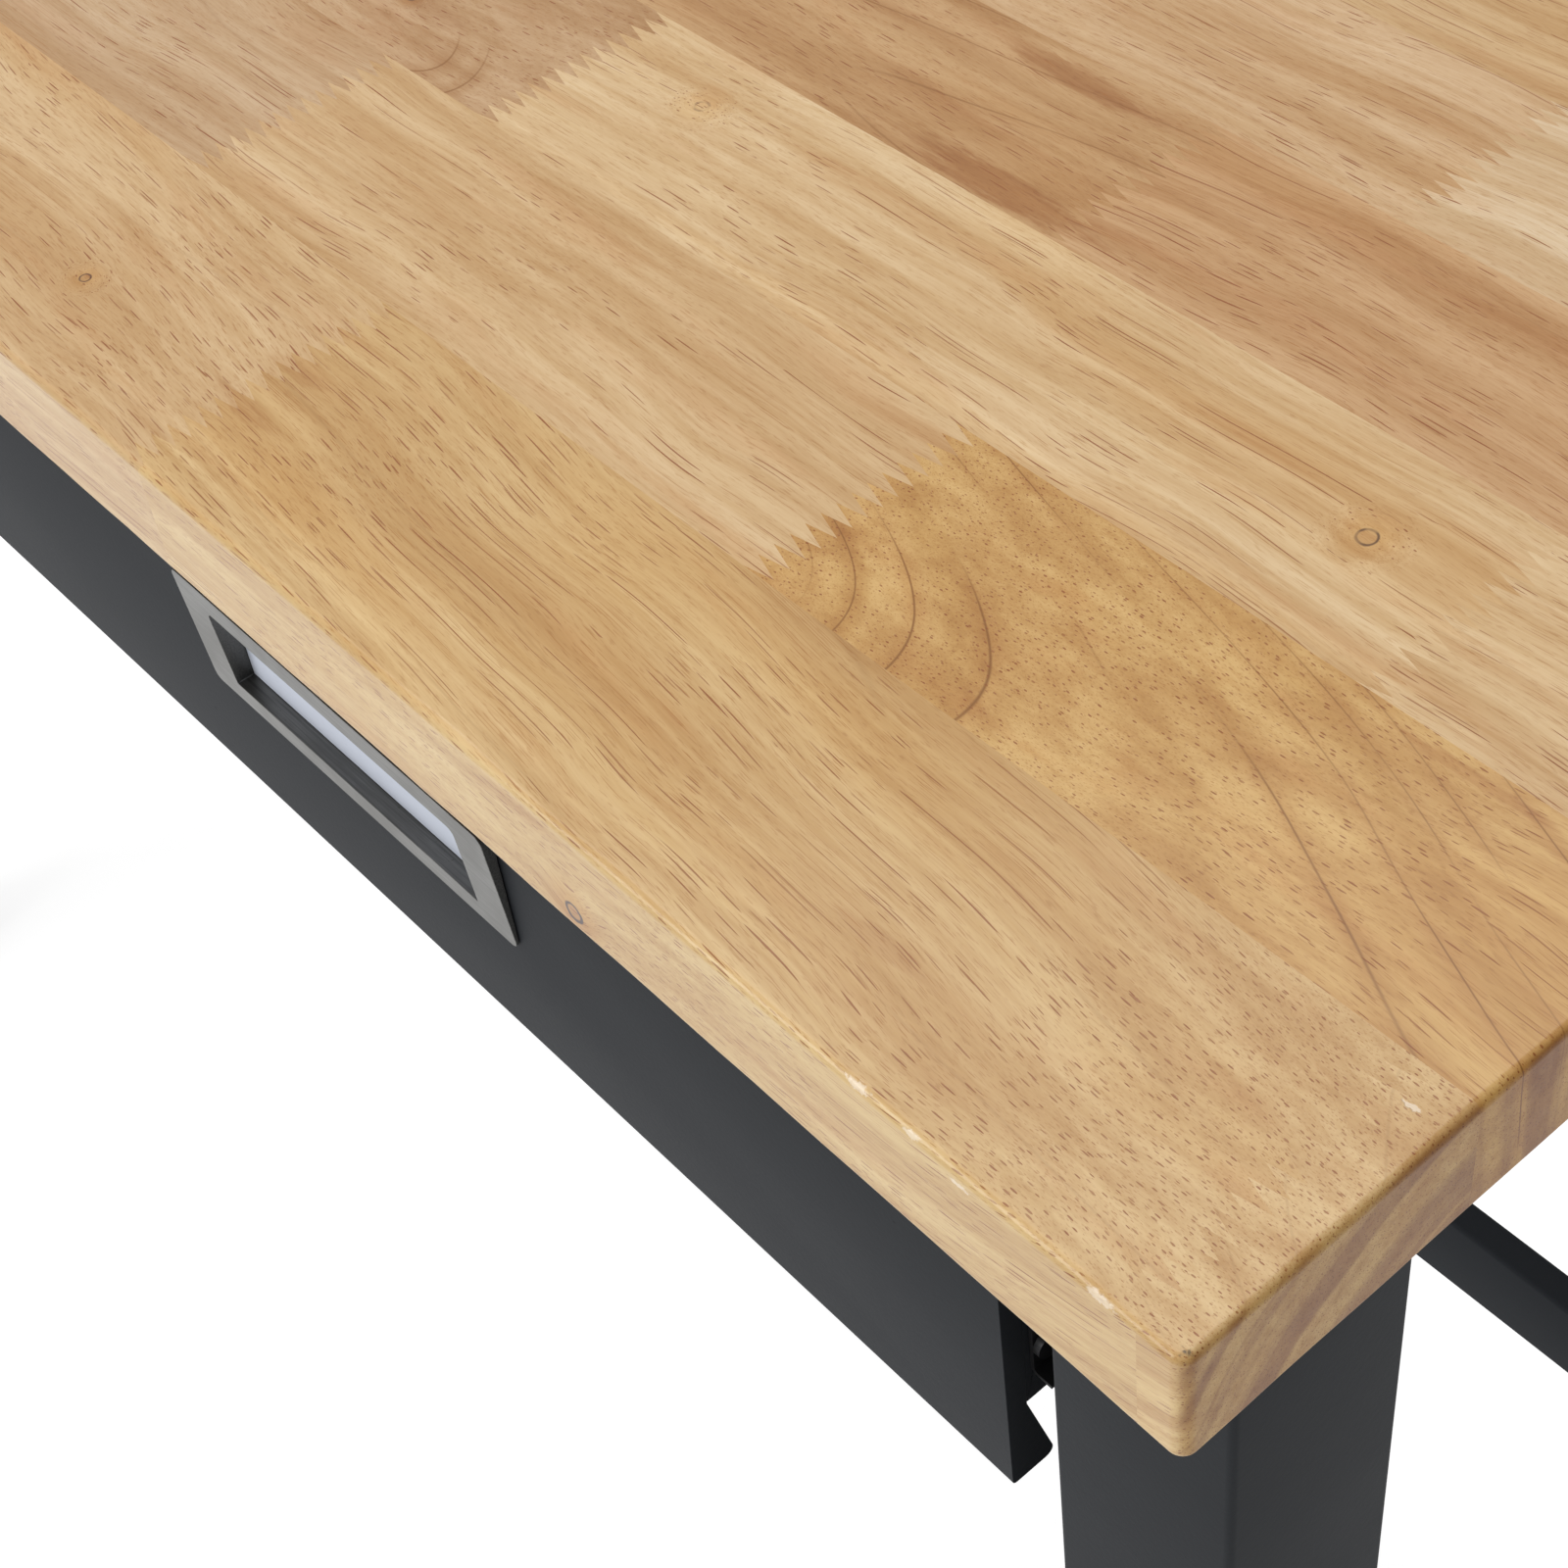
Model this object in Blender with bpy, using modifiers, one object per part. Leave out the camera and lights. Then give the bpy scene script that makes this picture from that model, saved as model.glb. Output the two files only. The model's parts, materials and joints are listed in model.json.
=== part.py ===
"""A workbench: a laminated wooden top on a welded steel frame, with two drawers on ball-bearing slides.

Metres, +Z up. The origin is on the floor under the middle of the bench. +X runs along the bench, and -Y faces
the user.
Run it with: blender --background --python part.py
"""

import math

import bmesh
import bpy
from mathutils import Matrix, Vector

# Whole bench
TOP_LENGTH = 1.220
TOP_DEPTH = 0.508
TOP_THICKNESS = 0.036
BENCH_HEIGHT = 0.952
GAP = 0.0003  # clearance left between pieces that touch

# Wooden top
ARRIS_RADIUS = 0.0025
TOP_CORNER_RADIUS = 0.0038

# Legs and frame tubes
LEG_SIDE = 0.053
LEG_WALL = 0.002
LEG_CORNER = 0.002
LEG_BORE_CORNER = 0.0005
LEG_CAP = 0.003
LEG_END_INSET = 0.0051  # from the end of the top
LEG_EDGE_INSET = 0.0196  # from the front or back edge of the top
RAIL_WIDTH = 0.025
RAIL_HEIGHT = 0.050
SIDE_RAIL_SHIFT = 0.001  # from the legs' middle line towards the bench's middle
STRETCHER_WIDTH = 0.016
STRETCHER_HEIGHT = 0.047
TUBE_WALL = 0.0015
TUBE_CORNER = 0.0025
CROSSBAR_TOP = 0.2753
SIDE_STRETCHER_TOP = 0.352
END_PLATE = 0.003
END_PLATE_INSET = 0.0005  # from the crossbar's end, top and bottom
CROSSBAR_BOLT_SPREAD = 0.024
CROSSBAR_BOLT_SHIFT = 0.007  # behind the leg's middle line

# Levelling feet
PAD_RADIUS = 0.019
PAD_HEIGHT = 0.010
PAD_RIM = 0.004
PAD_CROWN_RADIUS = 0.008
PAD_CHAMFER = 0.001
STEM_RADIUS = 0.004
STEM_TOP = 0.056
HEX_ACROSS_FLATS = 0.013
SOCKET_FLANGE_BOTTOM = 0.018
SOCKET_FLANGE = 0.003
SOCKET_DEPTH = 0.020

# Drawers
DRAWER_WIDTH = 0.5104
DRAWER_END_INSET = 0.0736  # from the end of the top to the drawer front's end
FRONT_TOP_DROP = 0.003  # from the underside of the top
FRONT_HEIGHT = 0.1256
SHEET = 0.0012
FRONT_FLANGE = 0.0062
LIP_DEPTH = 0.0141
LIP_INNER = 0.0115
LIP_RETURN = 0.0045
LIP_TIP_RADIUS = 0.0025
FRONT_FOLD_RADIUS = 0.0015
TRAY_DEPTH = 0.394
TRAY_HEIGHT = 0.085
TRAY_BOTTOM_RISE = 0.0304  # from the front's lower edge to the tray's underside
TRAY_HEM_HEIGHT = 0.006
TRAY_HEM_WIDTH = 0.0032

# Label holder
HOLDER_WIDTH = 0.1458
HOLDER_HEIGHT = 0.0457
HOLDER_BOTTOM_RISE = 0.0451  # from the front's lower edge
HOLDER_CORNER = 0.0028
HOLDER_SIDE_BAR = 0.0149
HOLDER_BOTTOM_BAR = 0.0078
HOLDER_OPENING_HEIGHT = 0.0295
HOLDER_OPENING_CORNER = 0.0025
HOLDER_PROUD_BOTTOM = 0.0012
HOLDER_PROUD_TOP = 0.0041
POCKET_DEPTH = 0.0046  # behind the drawer's front face
POCKET_WALL = 0.0008
CARD_THICKNESS = 0.0004

# Ball-bearing slides
SLIDE_LENGTH = 0.400
SLIDE_FRONT_SETBACK = 0.0174  # from the drawer's front face to the fixed member
SLIDE_THICKNESS = 0.0127
SLIDE_METAL = 0.0012
SLIDE_BOTTOM_RISE = 0.0545  # from the front's lower edge to the slide's middle
INNER_MEMBER_LEAD = 0.0096  # how far the drawer member starts ahead of the fixed one
SLIDE_FOLD_RADIUS = 0.0018
FIXED_RIM = 0.0116  # how far each member's flanges reach from the wall
FIXED_HALF_HEIGHT = 0.0225
MIDDLE_WEB = 0.0034  # from the wall to the middle of the middle member's web
MIDDLE_RIM = 0.0106
MIDDLE_HALF_HEIGHT = 0.0170
DRAWER_RIM = 0.0060
DRAWER_HALF_HEIGHT = 0.0110
BRACKET_SHEET = 0.0019
HANGER_SHEET = 0.0015
HANGER_FLANGE = 0.012
BRACKET_REAR_CLEARANCE = 0.003
SLIDE_SUPPORT_DEPTH = 0.097

# Fasteners
SCREW_HEAD_RADIUS = 0.004
SCREW_HEAD = 0.0020
SCREW_RADIUS = 0.00165
SCREW_REACH = 0.0045  # past the outer face of the drawer member's web
SCREW_FRONT_SETBACK = 0.0114  # from the drawer's front face
SCREW_REAR_SETBACK = 0.022  # from the drawer member's rear end
BOLT_RADIUS = 0.004
BOLT_HEAD = 0.0055
BOLT_LENGTH = 0.014
HOLE_CLEARANCE = 0.0003
ROUND_SIDES = 24

# Modelling
MERGE = 1e-6
CUTTER_REACH = 0.05  # how far a cutter goes past what it cuts
LEAN_REACH = 0.01
WINDOW_REACH = 0.001
SMOOTH_ANGLE = 35  # degrees

# Levels and planes that follow from the sizes above
TOP_UNDERSIDE = BENCH_HEIGHT - TOP_THICKNESS
LEG_X = TOP_LENGTH / 2 - LEG_END_INSET - LEG_SIDE / 2
LEG_Y = TOP_DEPTH / 2 - LEG_EDGE_INSET - LEG_SIDE / 2
LEG_BOTTOM = SOCKET_FLANGE_BOTTOM + SOCKET_FLANGE + GAP
FRONT_Y = -TOP_DEPTH / 2 + LEG_EDGE_INSET
FRONT_TOP = TOP_UNDERSIDE - FRONT_TOP_DROP
FRONT_BOTTOM = FRONT_TOP - FRONT_HEIGHT
TRAY_FRONT = FRONT_Y + FRONT_FLANGE + GAP
TRAY_BOTTOM = FRONT_BOTTOM + TRAY_BOTTOM_RISE
DRAWER_X = TOP_LENGTH / 2 - DRAWER_END_INSET - DRAWER_WIDTH / 2
SLIDE_SPACE = SLIDE_THICKNESS + 2 * GAP
HANGER_HALF = DRAWER_X - DRAWER_WIDTH / 2 - SLIDE_SPACE
BRACKET_FACE = DRAWER_X + DRAWER_WIDTH / 2 + SLIDE_SPACE
SLIDE_Z = FRONT_BOTTOM + SLIDE_BOTTOM_RISE
SLIDE_FRONT = FRONT_Y + SLIDE_FRONT_SETBACK

SIDES = (("left", -1), ("right", 1))
ENDS = (("front", -1), ("rear", 1))

for old in list(bpy.data.objects):
    bpy.data.objects.remove(old)

BENCH = bpy.data.collections.new("workbench")
CUTTERS = bpy.data.collections.new("cutters")
bpy.context.scene.collection.children.link(BENCH)
bpy.context.scene.collection.children.link(CUTTERS)


# Materials


def material(name, colour, roughness, metallic=0.0):
    made = bpy.data.materials.new(name)
    made.use_nodes = True
    shader = made.node_tree.nodes["Principled BSDF"]
    shader.inputs["Base Color"].default_value = (*colour, 1.0)
    shader.inputs["Roughness"].default_value = roughness
    shader.inputs["Metallic"].default_value = metallic
    return made


WOOD = material("wood", (0.60, 0.38, 0.18), 0.35)
POWDER_COAT = material("powder_coat", (0.03, 0.033, 0.036), 0.45)
SLIDE_STEEL = material("slide_steel", (0.03, 0.03, 0.032), 0.4, 0.6)
ZINC = material("zinc", (0.55, 0.55, 0.53), 0.35, 1.0)
NICKEL = material("nickel", (0.34, 0.34, 0.32), 0.38, 1.0)
PAPER = material("paper", (0.82, 0.85, 0.92), 0.8)
PLASTIC = material("plastic", (0.02, 0.02, 0.02), 0.55)


# Outlines, as lists of (u, v) points


def arc(centre, radius, start, end, steps):
    """Points on an arc, both ends included. Angles are in degrees."""
    angles = [math.radians(start + (end - start) * i / steps) for i in range(steps + 1)]
    return [(centre[0] + radius * math.cos(a), centre[1] + radius * math.sin(a)) for a in angles]


def rounded_rectangle(width, height, radius, centre=(0, 0), steps=4):
    u, v = width / 2 - radius, height / 2 - radius
    corners = ((u, v, 0), (-u, v, 90), (-u, -v, 180), (u, -v, 270))
    return [
        point
        for cu, cv, start in corners
        for point in arc((centre[0] + cu, centre[1] + cv), radius, start, start + 90, steps)
    ]


def rounded_path(points, radius, steps=3):
    """An open path whose inner corners are replaced by arcs."""
    path = [Vector(points[0])]
    for before, corner, after in zip(points, points[1:], points[2:]):
        corner = Vector(corner)
        towards = (Vector(before) - corner).normalized()
        onwards = (Vector(after) - corner).normalized()
        half = towards.angle(onwards) / 2
        reach = radius / math.tan(half)
        middle = corner + (towards + onwards).normalized() * (radius / math.sin(half))
        first = corner + towards * reach - middle
        last = corner + onwards * reach - middle
        turn = first.angle_signed(last)
        path += [middle + Matrix.Rotation(-turn * i / steps, 2) @ first for i in range(steps + 1)]
    return path + [Vector(points[-1])]


def folded_sheet(points, thickness, radius):
    """The section of a sheet folded along a path, as a closed outline. The path is the sheet's middle."""
    path = rounded_path(points, radius)
    one_side, other_side = [], []
    for i, point in enumerate(path):
        before = (point - path[max(i - 1, 0)]).normalized()
        after = (path[min(i + 1, len(path) - 1)] - point).normalized()
        along = (before + after).normalized()
        across = Vector((-along.y, along.x))
        straight = after if i == 0 else before
        width = thickness / 2 / abs(across.dot(Vector((-straight.y, straight.x))))
        one_side.append(point + across * width)
        other_side.append(point - across * width)
    return [tuple(p) for p in one_side + other_side[::-1]]


# Solids

AXES = {
    "X": Matrix(((0, 0, 1), (1, 0, 0), (0, 1, 0))),  # an outline's u, v lie along Y, Z
    "Y": Matrix(((1, 0, 0), (0, 0, -1), (0, 1, 0))),  # u, v lie along X, Z
    "Z": Matrix.Identity(3),  # u, v lie along X, Y
}


def put(mesh, name, look):
    made = bpy.data.objects.new(name, mesh)
    mesh.materials.clear()
    mesh.materials.append(look)
    BENCH.objects.link(made)
    return made


def extruded(name, outlines, axis, start, end, look):
    """A solid whose section is an outline with any holes, from start to end along an axis."""
    curve = bpy.data.curves.new(name, "CURVE")
    curve.dimensions = "2D"
    curve.fill_mode = "BOTH"
    curve.extrude = (end - start) / 2
    for outline in outlines:
        spline = curve.splines.new("POLY")
        spline.points.add(len(outline) - 1)
        spline.points.foreach_set("co", [c for u, v in outline for c in (u, v, 0, 1)])
        spline.use_cyclic_u = True
    flat = bpy.data.objects.new(name + "_outline", curve)
    BENCH.objects.link(flat)
    bpy.context.view_layer.update()
    graph = bpy.context.evaluated_depsgraph_get()
    mesh = bpy.data.meshes.new_from_object(flat.evaluated_get(graph))
    bpy.data.objects.remove(flat)
    shape = bmesh.new()
    shape.from_mesh(mesh)
    bmesh.ops.remove_doubles(shape, verts=shape.verts, dist=MERGE)
    bmesh.ops.recalc_face_normals(shape, faces=shape.faces)
    shape.to_mesh(mesh)
    shape.free()
    made = put(mesh, name, look)
    made.matrix_world = AXES[axis].to_4x4()
    made.location["XYZ".index(axis)] = (start + end) / 2
    return made


def block(name, low, high, look):
    """A plain box between two corners."""
    low, high = Vector(low), Vector(high)
    shape = bmesh.new()
    bmesh.ops.create_cube(shape, size=1)
    bmesh.ops.scale(shape, vec=high - low, verts=shape.verts)
    mesh = bpy.data.meshes.new(name)
    shape.to_mesh(mesh)
    shape.free()
    made = put(mesh, name, look)
    made.location = (low + high) / 2
    return made


def cylinder(name, radius, start, end, axis, centre, look, sides=ROUND_SIDES):
    """A round or, with few sides, a prismatic bar along an axis. centre gives the other two coordinates."""
    shape = bmesh.new()
    bmesh.ops.create_cone(
        shape, cap_ends=True, segments=sides, radius1=radius, radius2=radius, depth=end - start
    )
    mesh = bpy.data.meshes.new(name)
    shape.to_mesh(mesh)
    shape.free()
    made = put(mesh, name, look)
    made.matrix_world = AXES[axis].to_4x4()
    place = list(centre)
    place.insert("XYZ".index(axis), (start + end) / 2)
    made.location = place
    return made


def turned(name, profile, centre, look, steps=32):
    """A profile of (radius, height) points, top down its outer side, turned about an upright line."""
    mesh = bpy.data.meshes.new(name)
    edges = [(i, i + 1) for i in range(len(profile) - 1)]
    mesh.from_pydata([(r, 0, z) for r, z in profile], edges, [])
    made = put(mesh, name, look)
    made.location = (*centre, 0)
    screw = made.modifiers.new("turn", "SCREW")
    screw.steps = steps
    screw.render_steps = steps
    screw.use_merge_vertices = True
    screw.merge_threshold = 1e-5
    return made


def combine(target, other, operation):
    """Joins a helper to the target, or cuts the target with it."""
    other.name = f"{target.name}_{operation.lower()}_{len(target.modifiers)}"
    BENCH.objects.unlink(other)
    CUTTERS.objects.link(other)
    other.hide_render = True
    other.display_type = "WIRE"
    step = target.modifiers.new(operation.lower(), "BOOLEAN")
    step.operation = operation
    step.object = other


def cut(target, *cutters):
    for cutter in cutters:
        combine(target, cutter, "DIFFERENCE")


def join(target, *others):
    for other in others:
        combine(target, other, "UNION")


def assembly(name, location, pieces):
    """An empty on a moving body's reference point, with its pieces parented to it."""
    empty = bpy.data.objects.new(name, None)
    empty.location = location
    BENCH.objects.link(empty)
    bpy.context.view_layer.update()
    for piece in pieces:
        piece.parent = empty
        piece.matrix_parent_inverse = empty.matrix_world.inverted()


# The wooden top


def make_top():
    outline = rounded_rectangle(TOP_LENGTH, TOP_DEPTH, TOP_CORNER_RADIUS, steps=5)
    top = extruded("bench_top", [outline], "Z", TOP_UNDERSIDE, BENCH_HEIGHT, WOOD)
    bevel = top.modifiers.new("arris", "BEVEL")
    bevel.width = ARRIS_RADIUS
    bevel.segments = 3
    bevel.limit_method = "ANGLE"
    bevel.angle_limit = math.radians(60)
    return top


# The steel frame


def make_leg(side, x_sign, end, y_sign):
    centre = (x_sign * LEG_X, y_sign * LEG_Y)
    outline = rounded_rectangle(LEG_SIDE, LEG_SIDE, LEG_CORNER, centre)
    bore_side = LEG_SIDE - 2 * LEG_WALL
    inside = rounded_rectangle(bore_side, bore_side, LEG_BORE_CORNER, centre)
    leg = extruded(
        f"{end}_{side}_leg", [outline], "Z", LEG_BOTTOM, TOP_UNDERSIDE - GAP, POWDER_COAT
    )
    cut(leg, extruded("bore", [inside], "Z", -LEG_SIDE, TOP_UNDERSIDE - GAP - LEG_CAP, POWDER_COAT))
    if end == "rear":
        reach = sorted((x_sign * (LEG_X - LEG_SIDE), x_sign * LEG_X))
        hole = BOLT_RADIUS + HOLE_CLEARANCE
        for z in crossbar_bolt_levels():
            cut(leg, cylinder("hole", hole, *reach, "X", (crossbar_bolt_y(), z), POWDER_COAT))
    return leg


def rectangular_tube(name, axis, width, height, centre, start, end):
    """A tube with open ends. width and height are along the outline's u and v."""
    outer = rounded_rectangle(width, height, TUBE_CORNER, centre)
    inner = rounded_rectangle(
        width - 2 * TUBE_WALL, height - 2 * TUBE_WALL, TUBE_CORNER - TUBE_WALL, centre
    )
    return extruded(name, [outer, inner], axis, start, end, POWDER_COAT)


def make_side_members(side, x_sign):
    """The upper rail and the stretcher between a front and a rear leg."""
    reach = LEG_Y - LEG_SIDE / 2 - GAP
    rail = rectangular_tube(
        f"{side}_side_rail", "Y", RAIL_WIDTH, RAIL_HEIGHT,
        (x_sign * (LEG_X - SIDE_RAIL_SHIFT), TOP_UNDERSIDE - GAP - RAIL_HEIGHT / 2), -reach, reach,
    )
    stretcher = rectangular_tube(
        f"{side}_side_stretcher", "Y", STRETCHER_WIDTH, STRETCHER_HEIGHT,
        (x_sign * LEG_X, SIDE_STRETCHER_TOP - STRETCHER_HEIGHT / 2), -reach, reach,
    )
    return [rail, stretcher]


def make_rear_rail():
    reach = LEG_X - LEG_SIDE / 2 - GAP
    centre = (LEG_Y, TOP_UNDERSIDE - GAP - RAIL_HEIGHT / 2)
    return rectangular_tube("rear_rail", "X", RAIL_WIDTH, RAIL_HEIGHT, centre, -reach, reach)


def crossbar_bolt_y():
    return LEG_Y + CROSSBAR_BOLT_SHIFT


def crossbar_bolt_levels():
    middle = CROSSBAR_TOP - STRETCHER_HEIGHT / 2
    return (middle - CROSSBAR_BOLT_SPREAD / 2, middle + CROSSBAR_BOLT_SPREAD / 2)


def make_rear_crossbar():
    """The lower bar between the rear legs, with a welded end plate that takes two bolts at each end."""
    reach = LEG_X - LEG_SIDE / 2 - GAP
    front = LEG_Y - LEG_SIDE / 2
    centre = (front + STRETCHER_WIDTH / 2, CROSSBAR_TOP - STRETCHER_HEIGHT / 2)
    inner = rounded_rectangle(
        STRETCHER_WIDTH - 2 * TUBE_WALL,
        STRETCHER_HEIGHT - 2 * TUBE_WALL,
        TUBE_CORNER - TUBE_WALL,
        centre,
    )
    outer = rounded_rectangle(STRETCHER_WIDTH, STRETCHER_HEIGHT, TUBE_CORNER, centre)
    bar = extruded("rear_crossbar", [outer], "X", -reach, reach, POWDER_COAT)
    plate_back = front + LEG_SIDE - LEG_CORNER
    plate_end = reach - END_PLATE_INSET
    for sign in (-1, 1):
        low, high = sorted((sign * plate_end, sign * (plate_end - END_PLATE)))
        plate = block(
            "plate",
            (low, front + TUBE_CORNER, CROSSBAR_TOP - STRETCHER_HEIGHT + END_PLATE_INSET),
            (high, plate_back, CROSSBAR_TOP - END_PLATE_INSET),
            POWDER_COAT,
        )
        join(bar, plate)
    cut(bar, extruded("bore", [inner], "X", -TOP_LENGTH, TOP_LENGTH, POWDER_COAT))
    hole = BOLT_RADIUS + HOLE_CLEARANCE
    for z in crossbar_bolt_levels():
        centre = (crossbar_bolt_y(), z)
        cut(bar, cylinder("hole", hole, -TOP_LENGTH, TOP_LENGTH, "X", centre, POWDER_COAT))
    return bar


def make_crossbar_bolts():
    bolts = []
    plate_face = LEG_X - LEG_SIDE / 2 - GAP - END_PLATE_INSET - END_PLATE - GAP
    shank_start = plate_face - BOLT_HEAD / 2
    corner = HEX_ACROSS_FLATS / math.sqrt(3)
    for side, x_sign in SIDES:
        for level, z in zip(("lower", "upper"), crossbar_bolt_levels()):
            centre = (crossbar_bolt_y(), z)
            head_ends = sorted((x_sign * (plate_face - BOLT_HEAD), x_sign * plate_face))
            shank_ends = sorted((x_sign * shank_start, x_sign * (plate_face + BOLT_LENGTH)))
            name = f"crossbar_bolt_{side}_{level}"
            bolt = cylinder(name, corner, *head_ends, "X", centre, ZINC, sides=6)
            join(bolt, cylinder("shank", BOLT_RADIUS, *shank_ends, "X", centre, ZINC))
            bolts.append(bolt)
    return bolts


# What the slides are fixed to


def make_centre_hanger():
    """A folded channel that hangs from the top between the drawers."""
    wall = HANGER_HALF - HANGER_SHEET / 2
    flange = TOP_UNDERSIDE - GAP - HANGER_SHEET / 2
    floor = TOP_UNDERSIDE - SLIDE_SUPPORT_DEPTH
    rim = wall + HANGER_FLANGE
    half = [(wall, floor), (wall, flange), (rim, flange)]
    path = [(-x, z) for x, z in reversed(half)] + half
    section = folded_sheet(path, HANGER_SHEET, 2 * HANGER_SHEET)
    rear = LEG_Y - RAIL_WIDTH / 2 - GAP
    return extruded("centre_hanger", [section], "Y", TRAY_FRONT, rear, POWDER_COAT)


def make_slide_bracket(side, x_sign):
    """A folded angle on the inner faces of two legs, screwed up into the top."""
    wall = x_sign * (BRACKET_FACE + BRACKET_SHEET / 2)
    flange = TOP_UNDERSIDE - GAP - BRACKET_SHEET / 2
    path = [
        (wall - x_sign * SLIDE_THICKNESS, flange),
        (wall, flange),
        (wall, TOP_UNDERSIDE - SLIDE_SUPPORT_DEPTH),
    ]
    section = folded_sheet(path, BRACKET_SHEET, 2 * BRACKET_SHEET)
    rear = LEG_Y - RAIL_WIDTH / 2 - BRACKET_REAR_CLEARANCE
    return extruded(f"{side}_slide_bracket", [section], "Y", TRAY_FRONT, rear, POWDER_COAT)


# Levelling feet


def make_foot(side, x_sign, end, y_sign):
    """The plug in the leg's end, the pad on the floor, and the threaded stem between them."""
    x, y = x_sign * LEG_X, y_sign * LEG_Y
    name = f"{end}_{side}"
    half = LEG_SIDE / 2
    plug_side = LEG_SIDE - 2 * LEG_WALL - 2 * GAP
    socket = block(
        f"{name}_foot_socket",
        (x - half, y - half, SOCKET_FLANGE_BOTTOM),
        (x + half, y + half, SOCKET_FLANGE_BOTTOM + SOCKET_FLANGE),
        PLASTIC,
    )
    plug_bottom = SOCKET_FLANGE_BOTTOM + SOCKET_FLANGE / 2
    outline = rounded_rectangle(plug_side, plug_side, LEG_BORE_CORNER, (x, y))
    join(socket, extruded("plug", [outline], "Z", plug_bottom, plug_bottom + SOCKET_DEPTH, PLASTIC))
    bore = STEM_RADIUS + HOLE_CLEARANCE
    cut(socket, cylinder("bore", bore, 0, LEG_SIDE * 2, "Z", (x, y), PLASTIC))
    seat_radius = STEM_RADIUS + 2 * HOLE_CLEARANCE
    seat_floor = PAD_HEIGHT / 2
    pad_profile = [
        (0, seat_floor), (seat_radius, seat_floor), (seat_radius, PAD_HEIGHT), (PAD_CROWN_RADIUS, PAD_HEIGHT),
        (PAD_RADIUS, PAD_RIM), (PAD_RADIUS, PAD_CHAMFER), (PAD_RADIUS - PAD_CHAMFER, 0), (0, 0),
    ]
    pad = turned(f"{name}_foot_pad", pad_profile, (x, y), PLASTIC)
    stem = cylinder(
        f"{name}_foot_stem", STEM_RADIUS, seat_floor + GAP, STEM_TOP, "Z", (x, y), ZINC
    )
    hex_bottom = PAD_HEIGHT + 2 * GAP
    hex_top = SOCKET_FLANGE_BOTTOM - 4 * GAP
    corner = HEX_ACROSS_FLATS / math.sqrt(3)
    join(stem, cylinder("hex", corner, hex_bottom, hex_top, "Z", (x, y), ZINC, sides=6))
    assembly(f"{name}_levelling_foot", (x, y, 0), [pad, stem])
    return socket


# Drawers


def front_section():
    """The drawer front's end view: a flange down the back edge, widening into the pull lip."""
    back = FRONT_Y + FRONT_FLANGE
    tip = Vector((FRONT_Y + LIP_DEPTH, FRONT_BOTTOM))
    apex = Vector((back, TRAY_BOTTOM))
    top_back = Vector((back, FRONT_TOP))
    top = Vector((FRONT_Y, FRONT_TOP))
    bottom = Vector((FRONT_Y, FRONT_BOTTOM))
    lower = rounded_path([top, bottom, tip], FRONT_FOLD_RADIUS)[1:-1]
    lip = rounded_path([bottom, tip, apex], LIP_TIP_RADIUS, 5)[1:-1]
    upper = rounded_path([top_back, top, bottom], FRONT_FOLD_RADIUS)[1:-1]
    return [tuple(p) for p in [*lower, *lip, apex, top_back, *upper]]


def make_drawer_front(side, x_middle):
    left, right = x_middle - DRAWER_WIDTH / 2, x_middle + DRAWER_WIDTH / 2
    front = extruded(f"{side}_drawer_front", [front_section()], "X", left, right, POWDER_COAT)
    inner_y = FRONT_Y + SHEET
    lip_y = FRONT_Y + LIP_INNER
    behind = FRONT_Y + 4 * LIP_DEPTH
    lip_top = FRONT_BOTTOM + LIP_RETURN
    hollow = [
        (inner_y, FRONT_BOTTOM + SHEET), (lip_y, FRONT_BOTTOM + SHEET), (lip_y, lip_top),
        (behind, lip_top), (behind, FRONT_TOP - SHEET), (inner_y, FRONT_TOP - SHEET),
    ]
    cut(front, extruded("hollow", [hollow], "X", left + SHEET, right - SHEET, POWDER_COAT))
    pocket_x = HOLDER_WIDTH / 2 - HOLDER_SIDE_BAR + POCKET_WALL + GAP
    pocket_z = holder_opening_middle()
    pocket_half = HOLDER_OPENING_HEIGHT / 2 + POCKET_WALL + GAP
    window = block(
        "window",
        (x_middle - pocket_x, FRONT_Y - LIP_DEPTH, pocket_z - pocket_half),
        (x_middle + pocket_x, inner_y + WINDOW_REACH, pocket_z + pocket_half),
        POWDER_COAT,
    )
    cut(front, window)
    return front


def make_tray(side, x_middle):
    half = DRAWER_WIDTH / 2 - GAP
    back = TRAY_FRONT + TRAY_DEPTH
    top = TRAY_BOTTOM + TRAY_HEIGHT
    tray = block(
        f"{side}_drawer_tray",
        (x_middle - half, TRAY_FRONT, TRAY_BOTTOM),
        (x_middle + half, back, top),
        POWDER_COAT,
    )
    cavity = block(
        "cavity",
        (x_middle - half + SHEET, TRAY_FRONT + SHEET, TRAY_BOTTOM + SHEET),
        (x_middle + half - SHEET, back - SHEET, top - TRAY_HEM_HEIGHT),
        POWDER_COAT,
    )
    mouth = block(
        "mouth",
        (x_middle - half + TRAY_HEM_WIDTH, TRAY_FRONT + TRAY_HEM_WIDTH, top - 2 * TRAY_HEM_HEIGHT),
        (x_middle + half - TRAY_HEM_WIDTH, back - TRAY_HEM_WIDTH, top + TRAY_HEM_HEIGHT),
        POWDER_COAT,
    )
    cut(tray, cavity, mouth)
    hole = SCREW_RADIUS + HOLE_CLEARANCE
    for y in slide_screw_places():
        for edge in (x_middle - half, x_middle + half):
            reach = (edge - 3 * SHEET, edge + 3 * SHEET)
            cut(tray, cylinder("hole", hole, *reach, "X", (y, SLIDE_Z), POWDER_COAT))
    return tray


# Label holders


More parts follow.
